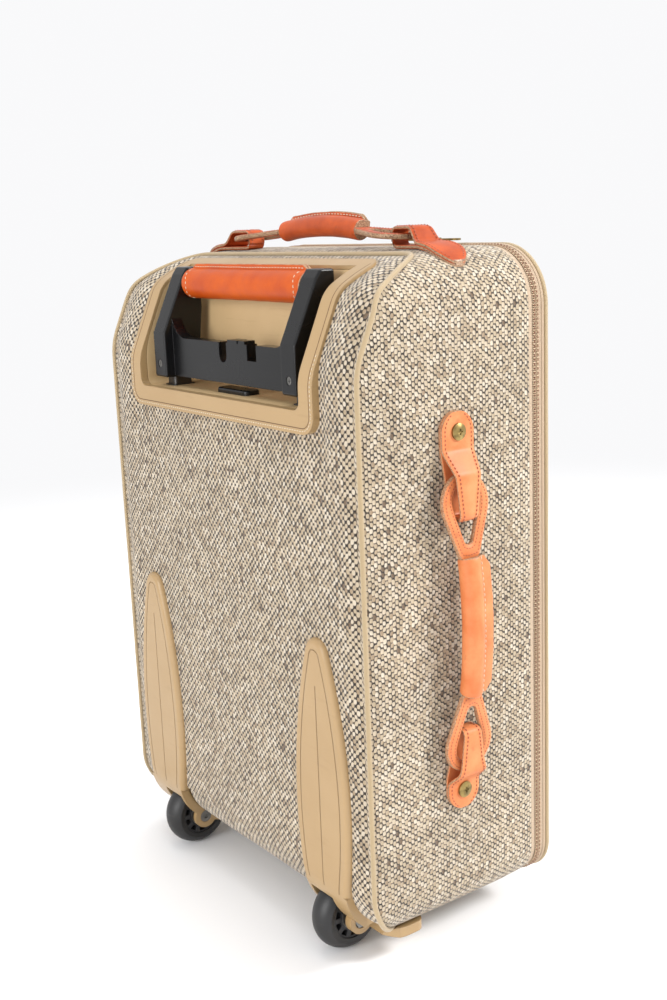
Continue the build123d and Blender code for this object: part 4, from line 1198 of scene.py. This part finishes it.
def make_pull_grip():
    """The pull handle's leather wrap, with a sewn row round each end."""
    low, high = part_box("pull_grip_leather")
    core_low, core_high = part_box("pull_grip_core")
    y = ((core_low.y + core_high.y) / 2 - SEAM_Y) / MM
    z = (core_low.z + core_high.z) / 2 / MM
    half = (high.x - low.x) / 2 / MM
    radius, inset = 12.5, 7.0
    sunk = radius - 0.05
    spine = [(-half + 2 * half * k / 40, y, z) for k in range(41)]
    fin = (high.z / MM - z, -3.5, 1.5)
    grip, sewn = leather_grip(
        "pull_grip_wrap", spine, radius, fin, (0, 0, 1), (0, 1, 0), LEATHER_GRIP, THREAD_PALE
    )
    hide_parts("pull_grip_leather")
    rows = [sewn]
    turns = [radians(70 - 150 * k / 30) for k in range(31)]
    up = [Vector((0, cos(a), sin(a))) for a in turns]
    for x in (-half + inset, half - inset):
        ring = []
        for k, a in enumerate(turns):
            ring.append(at(x + 1.2 * sin(k / 3), y + cos(a) * sunk, z + sin(a) * sunk))
        rows.append(stitch_row("row", ring, THREAD_PALE, 2.4, 3.8, 0.42, up=up))
    sewn = joined("pull_grip_stitches", rows)
    for piece in (grip, sewn):
        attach(piece, "pull_handle")


def skin_line(tree, places, lift, back=60):
    """Case places (x, z) found on a node's rear surface, with its normals there."""
    points, ups = [], []
    for x, z in places:
        hit, normal, _, _ = tree.ray_cast(at(x, back, z), Vector((0, -1, 0)))
        if hit is not None:
            points.append(hit + normal * lift * MM)
            ups.append(normal)
    return points, ups


def node_tree(name):
    """A CAD node's surface, for finding places on it."""
    node = NODES[name]
    node.data.calc_loop_triangles()
    points = [node.matrix_world @ v.co for v in node.data.vertices]
    return BVHTree.FromPolygons(points, [tuple(t.vertices) for t in node.data.loop_triangles])


def bezel_border(inset, corner):
    """The bezel's outer edge seen from behind, moved inwards: up one side, along the bottom, up the other."""
    low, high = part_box("handle_bezel")
    half = (high.x - low.x) / 2 / MM - inset
    bottom, top = low.z / MM + inset, high.z / MM - 3
    line = [(-half, top), (-half, bottom), (half, bottom), (half, top)]
    return rounded(line, [corner, corner], 2.0)


def make_bezel_details():
    """The moulded frame's border groove, drawn as a flush dark brown strip of painted shade, and the
    stitching that holds its lower edge.
    """
    tree = node_tree("handle_bezel")
    points, ups = skin_line(tree, bezel_border(4.6, 9.4), 0.0)
    section = ((-0.45, -0.3), (-0.35, 0.06), (0.35, 0.06), (0.45, -0.3))
    rings = []
    for k, (p, up) in enumerate(zip(points, ups)):
        ahead = (points[min(k + 1, len(points) - 1)] - points[max(k - 1, 0)]).normalized()
        side = up.cross(ahead).normalized()
        rings.append([p + side * across * MM + up * lift * MM for across, lift in section])
    # A thin strip lying flush on the frame, coloured dark brown as painted shade where the groove would be
    # shaded.
    groove = loft("bezel_groove", rings, GROOVE_PAINTED_SHADE, sharp=30)
    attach(groove, "case")
    line = [(x, z) for x, z in bezel_border(2.6, 11.4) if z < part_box("handle_bezel")[0].z / MM + 60]
    points, ups = skin_line(tree, line, 0.1)
    sewn = stitch_row("bezel_stitches", points, THREAD_PALE, 2.0, 3.2, 0.36, up=ups)
    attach(sewn, "case")


STRAP_BULB = 15.5  # radius of a tab's round end
DRAPE_START, DRAPE_RADIUS = 133.0, 45.0  # where the top handle's tabs follow the case's corner down
LOOP_CENTRE = 88.0  # a loop's middle and its far end, along the handle
LOOP_END, LOOP_END_LIFT = 116.0, 8.7
GRIP_HALF, GRIP_END_LIFT, GRIP_RISE = 53.0, 14.5, 4.0  # the grip's half length, and its arch off the wall


class Handle:
    """One carry handle's own space: u along it, v across, w away from the wall."""

    def __init__(self, name, origin, u_axis, w_axis, drop, drape):
        self.name = name
        self.origin = np.array(origin, float)
        self.u, self.w = np.array(u_axis, float), np.array(w_axis, float)
        self.v = np.cross(self.w, self.u)
        self.drop, self.drape = drop, drape

    def case(self, u, v, w):
        return self.origin + self.u * u + self.v * v + self.w * w

    def point(self, u, v, w):
        return at(*self.case(u, v, w))

    def way(self, u, v, w):
        return Vector(self.u * u + self.v * v + self.w * w)


def strap_width(u, end, fold):
    """Half the tab's width: a narrow neck at the fold, widening to a round bulb."""
    share = min(max((u - fold) / 28, 0), 1)
    wide = 7.8 + 3.4 * share ** 0.9
    wide += 4.3 * smooth(fold + 26, end - 24, u)
    over = u - (end - STRAP_BULB)
    return sqrt(max(STRAP_BULB**2 - over**2, 0.3)) if over > 0 else wide


def make_tab(handle, sizes, sign, materials):
    """A leather strap that lies on the wall, rises, folds back round the loop and returns under itself."""
    end, fold, gap_end, gap_top = sizes
    half = 1.3
    top = 14.6 + half
    line = [
        (end - 0.4, 1.5),
        (fold + half, 1.5),
        (fold + half, top),
        (gap_top + 2, top),
        (gap_end + 2, 4.15),
        (end - 0.4, 4.15),
    ]
    path = rounded(line, [4.7, 4.7, 7.0, 8.0], 1.1)
    rings, worn = [], []
    seam = {-1: [], 1: []}
    ups = {-1: [], 1: []}
    columns = [k / 4 for k in range(-4, 5)]
    for k, (u, w) in enumerate(path):
        du, dw = path[min(k + 1, len(path) - 1)] - path[max(k - 1, 0)]
        size = hypot(du, dw)
        nu, nw = -dw / size, du / size
        lower = k < len(path) / 2 and w < 3
        if not lower and w < 4.6:
            nu, nw = 0.0, 1.0
        wide = strap_width(u, end, fold) - (0.5 if lower else 0.0)
        fall = 0.0
        if handle.drape and u > DRAPE_START:
            fall = DRAPE_RADIUS - sqrt(DRAPE_RADIUS**2 - (u - DRAPE_START) ** 2)
        warp = 0.5 * wobble(u * 0.7 + 40 * sign, w, 3, 12) * smooth(2.5, 7, w)
        section = []
        for f in columns:
            curl = 0.55 * f * f * smooth(3, 8, w)
            section.append((f * (wide - 0.5), half + warp - curl, 0.0))
        section.append((wide, 0.55 + warp, 1.0))
        section.append((wide, -0.55 + warp, 1.0))
        for f in columns[::-1]:
            section.append((f * (wide - 0.5), -half + warp, 0.0))
        section.append((-wide, -0.55 + warp, 1.0))
        section.append((-wide, 0.55 + warp, 1.0))
        tip = 1.0 if k in (0, len(path) - 1) else 0.0
        rings.append([handle.point(sign * (u + nu * n), v, w + nw * n - fall) for v, n, _ in section])
        worn += [max(edge, tip) for _, _, edge in section]
        if not lower and u < end - 2.5 and wide > 5 and k > len(path) * 0.45:
            lift = half + warp
            for side in (-1, 1):
                spot = handle.point(sign * (u + nu * lift), side * (wide - 2.8), w + nw * lift - fall)
                seam[side].append(spot)
                ups[side].append(handle.way(sign * nu, 0, nw))
    tab = mark_edges(loft("tab", rings, materials[0], sharp=45), worn)
    rows = []
    for side in (-1, 1):
        rows.append(stitch_row("row", seam[side], materials[1], 2.0, 3.1, 0.42, up=ups[side]))
    return tab, rows


def hull_radius(big, small, square=False):
    """Distance from a centre to a shape stretched round two circles, by direction."""
    points = []
    for (u, r) in (big, small):
        for k in range(720):
            a = 2 * pi * k / 720
            if square and (u, r) == small:
                points += [(u - 4, r), (u - 4, -r), (u + 4, r), (u + 4, -r)]
                break
            points.append((u + r * cos(a), r * sin(a)))
    points = np.array(points)

    def reach(angle):
        """Support of the stretched outline in a direction, from the points' convex hull."""
        ray = np.array([cos(angle), sin(angle)])
        best = 1e9
        for k in range(120):
            normal_angle = angle - pi / 2 + pi * (k + 0.5) / 120
            normal = np.array([cos(normal_angle), sin(normal_angle)])
            support = ((points - (LOOP_CENTRE, 0)) @ normal).max()
            best = min(best, support / max(ray @ normal, 1e-6))
        return best

    return reach


OUTER_HULL = hull_radius((93.5, 22.5), (56.0, 8.5), square=True)
INNER_HULL = hull_radius((95.0, 13.0), (68.0, 5.0))


def make_loop(handle, sign, material, thread):
    """A teardrop leather loop, doubled and sewn, from the grip to the tab."""
    tilt = atan2(GRIP_END_LIFT - LOOP_END_LIFT, LOOP_END - GRIP_HALF)
    half = 2.1
    rings, worn, rows = [], [], {0.28: ([], []), 0.72: ([], [])}
    turns = [2 * pi * k / 96 for k in range(96)]
    for turn in turns:
        near, far = INNER_HULL(turn), OUTER_HULL(turn)
        upper = [
            (near + 0.1, half * 0.6, 0.9),
            (near + 0.8, half, 0.5),
            ((near + far) / 2, half + 0.25, 0),
            (far - 0.8, half, 0.5),
            (far, half * 0.6, 1),
        ]
        lower = [(reach, -up, edge) for reach, up, edge in upper[::-1]]
        section = lower[-1:] + upper + lower[:-1]
        ring = []
        for reach, up, edge in section:
            ring.append(loop_point(handle, sign, reach, turn, up, tilt))
            worn.append(edge)
        rings.append(ring)
        if 0.35 < turn < 2 * pi - 0.35:
            for share, (line, ups) in rows.items():
                line.append(loop_point(handle, sign, near + (far - near) * share, turn, half + 0.12, tilt))
                ups.append(handle.way(0, 0, 1))
    loop = mark_edges(loft("loop", rings, material, closed=True, sharp=50), worn)
    sewn = [stitch_row("row", line, thread, 1.7, 2.6, 0.36, up=ups) for line, ups in rows.values()]
    return loop, sewn


def loop_point(handle, sign, reach, turn, up, tilt):
    """A place on the tilted plate of a loop."""
    along = LOOP_CENTRE + reach * cos(turn) - LOOP_END
    u = sign * (LOOP_END + along * cos(tilt)) + handle.drop
    return handle.point(u, reach * sin(turn), LOOP_END_LIFT - along * sin(tilt) + up)


def make_carry_handle(handle, tabs, fin, fin_way, across, leather_used, threads):
    """Both tabs of a handle, its two loops and its wrapped grip, with their stitching."""
    pieces, sewn = [], []
    for sizes, sign in zip(tabs, (1, -1)):
        tab, rows = make_tab(handle, sizes, sign, (leather_used, threads[0]))
        pieces.append(tab)
        sewn += rows
    whole = joined(f"{handle.name}_tabs_leather", pieces)
    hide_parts(f"{handle.name}_tabs")
    stitches = joined(f"{handle.name}_tab_stitches", sewn)
    for piece in (whole, stitches):
        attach(piece, "case")
    pieces, sewn = [], []
    for sign in (1, -1):
        loop, rows = make_loop(handle, sign, leather_used, threads[0])
        pieces.append(loop)
        sewn += rows
    whole = joined(f"{handle.name}_loops_leather", pieces)
    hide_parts(f"{handle.name}_loops")
    spine = []
    for k in range(41):
        u = -GRIP_HALF + 2 * GRIP_HALF * k / 40
        lift = GRIP_END_LIFT + GRIP_RISE * (1 - (u / GRIP_HALF) ** 2)
        spine.append(handle.case(u + handle.drop, 0, lift))
    grip, rows = leather_grip(
        f"{handle.name}_grip_wrap", spine, 8.5, fin, fin_way, across, leather_used, threads[1]
    )
    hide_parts(f"{handle.name}_grip")
    stitches = joined(f"{handle.name}_stitches", [rows, *sewn])
    for piece in (whole, grip, stitches):
        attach(piece, handle.name)


def middle_y(low, high):
    """The middle of a box from back to front, in the case's axes."""
    return ((low.y + high.y) / 2 - SEAM_Y) / MM


def make_carry_handles():
    """The top handle and the side handle. A tab's sizes: its end, fold, gap's end and gap's top."""
    top_place = (0, middle_y(*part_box("top_handle_loops")), CASE_TOP)
    side_place = (-HALF_WIDTH, middle_y(*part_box("side_handle_loops")), 276.0)
    top = Handle("top_handle", top_place, (1, 0, 0), (0, 0, 1), 0.0, True)
    side = Handle("side_handle", side_place, (0, 0, 1), (-1, 0, 0), -6.0, False)
    threads = (THREAD_RUST, THREAD_PALE)
    tab = (166.0, 98.0, 130.0, 121.0)
    fin = (11.5, -7.5, -3.0)
    make_carry_handle(top, (tab, tab), fin, (0, 0, 1), (0, 1, 0), LEATHER_TOP, threads)
    tabs = ((155.0, 74.0, 124.0, 107.0), (155.0, 86.0, 130.8, 120.0))
    fin = (18.0, -2.0, 3.0)
    make_carry_handle(side, tabs, fin, (0, -1, 0), (-1, 0, 0), LEATHER_SIDE, threads)


make_pull_grip()
make_bezel_details()
make_carry_handles()


# ---------------------------------------------------------------- finishes of the moulded and metal parts

FINISHES = {
    "screw_steel": STEEL, "bearing_steel": STEEL, "spring_steel": STEEL, "screw_brass": BRASS,
    "zipper_metal": BRASS, "tan_plastic": TAN_PLASTIC, "black_plastic": BLACK_PLASTIC,
    "button_plastic": BLACK_PLASTIC, "tube_metal": TUBE_METAL, "board": BOARD, "tyre": TYRE_BLACK,
    "hub": HUB_BLACK, "foot_rubber": FOOT_RUBBER,
}
for name, node in NODES.items():
    for place in node.material_slots:
        if place.material and place.material.name in FINISHES:
            # The handle tub takes the lighter tan sheet, whose extra lightness is painted light in the shaded
            # recess.
            place.material = TAN_SHEET_PAINTED_LIGHT if name == "handle_tub" else FINISHES[place.material.name]


# ---------------------------------------------------------------- stage

BACKDROP = (0.95, 0.95, 0.96)


def make_stage():
    """A pale floor that fades into the backdrop round the case."""
    g = Graph("stage_white", rough=0.9)
    g.set("Base Color", (0.93, 0.93, 0.935, 1))
    g.set("Specular IOR Level", 0.1)
    away = g.node("ShaderNodeVectorMath", g.place(), operation="LENGTH", out=1)
    far = g.node("ShaderNodeMapRange", away, 0.75, 2.0, 0.0, 1.0, interpolation_type="SMOOTHSTEP")
    paper = g.node("ShaderNodeEmission", (*BACKDROP, 1), 1.0)
    faded = g.node("ShaderNodeMixShader", far, g.bsdf.outputs[0], paper)
    g.plug(faded, g.tree.nodes["Material Output"].inputs[0])
    size = 14.0
    verts = [(-size, -size, 0), (size, -size, 0), (size, size, 0), (-size, size, 0)]
    floor = new_piece("stage_floor", verts, [[0, 1, 2, 3]], None, [g.material])
    world = bpy.data.worlds.new("studio")
    bpy.context.scene.world = world
    world.use_nodes = True
    world.node_tree.nodes["Background"].inputs[0].default_value = (*BACKDROP, 1)
    world.node_tree.nodes["Background"].inputs[1].default_value = 1.0


def area_light(name, place, target, size, power):
    """A soft box at a place of the case's axes, turned to a target."""
    data = bpy.data.lights.new(name, "AREA")
    data.shape = "DISK"
    data.size = size
    data.energy = power
    lamp = bpy.data.objects.new(name, data)
    bpy.context.scene.collection.objects.link(lamp)
    lamp.location = at(*place)
    lamp.rotation_euler = (at(*target) - lamp.location).to_track_quat("-Z", "Y").to_euler()


def make_camera():
    """The camera stands back and to one side, a little above the case, looking down at it."""
    place = at(-858.17, 520.90, 570.61)
    yaw, pitch, roll = 0.939, -0.22, -0.04
    ahead = Vector((sin(yaw) * cos(pitch), -cos(yaw) * cos(pitch), sin(pitch)))
    right = ahead.cross(Vector((0, 0, 1))).normalized()
    up = right.cross(ahead)
    right, up = cos(roll) * right + sin(roll) * up, cos(roll) * up - sin(roll) * right
    data = bpy.data.cameras.new("camera")
    data.sensor_width = 36.0
    data.lens = 45.58
    camera = bpy.data.objects.new("camera", data)
    bpy.context.scene.collection.objects.link(camera)
    turn = Matrix((right, up, -ahead)).transposed().to_4x4()
    camera.matrix_world = Matrix.Translation(place) @ turn
    bpy.context.scene.camera = camera


make_stage()
CASE_MIDDLE = (0, -90, 300)
area_light("key", (-1500, -1500, 1500), CASE_MIDDLE, 0.6, 54)
area_light("fill", (-500, 2300, 900), CASE_MIDDLE, 1.6, 38)
area_light("top", (300, -200, 2600), CASE_MIDDLE, 1.6, 20)
make_camera()
bpy.context.scene.view_settings.view_transform = "Standard"
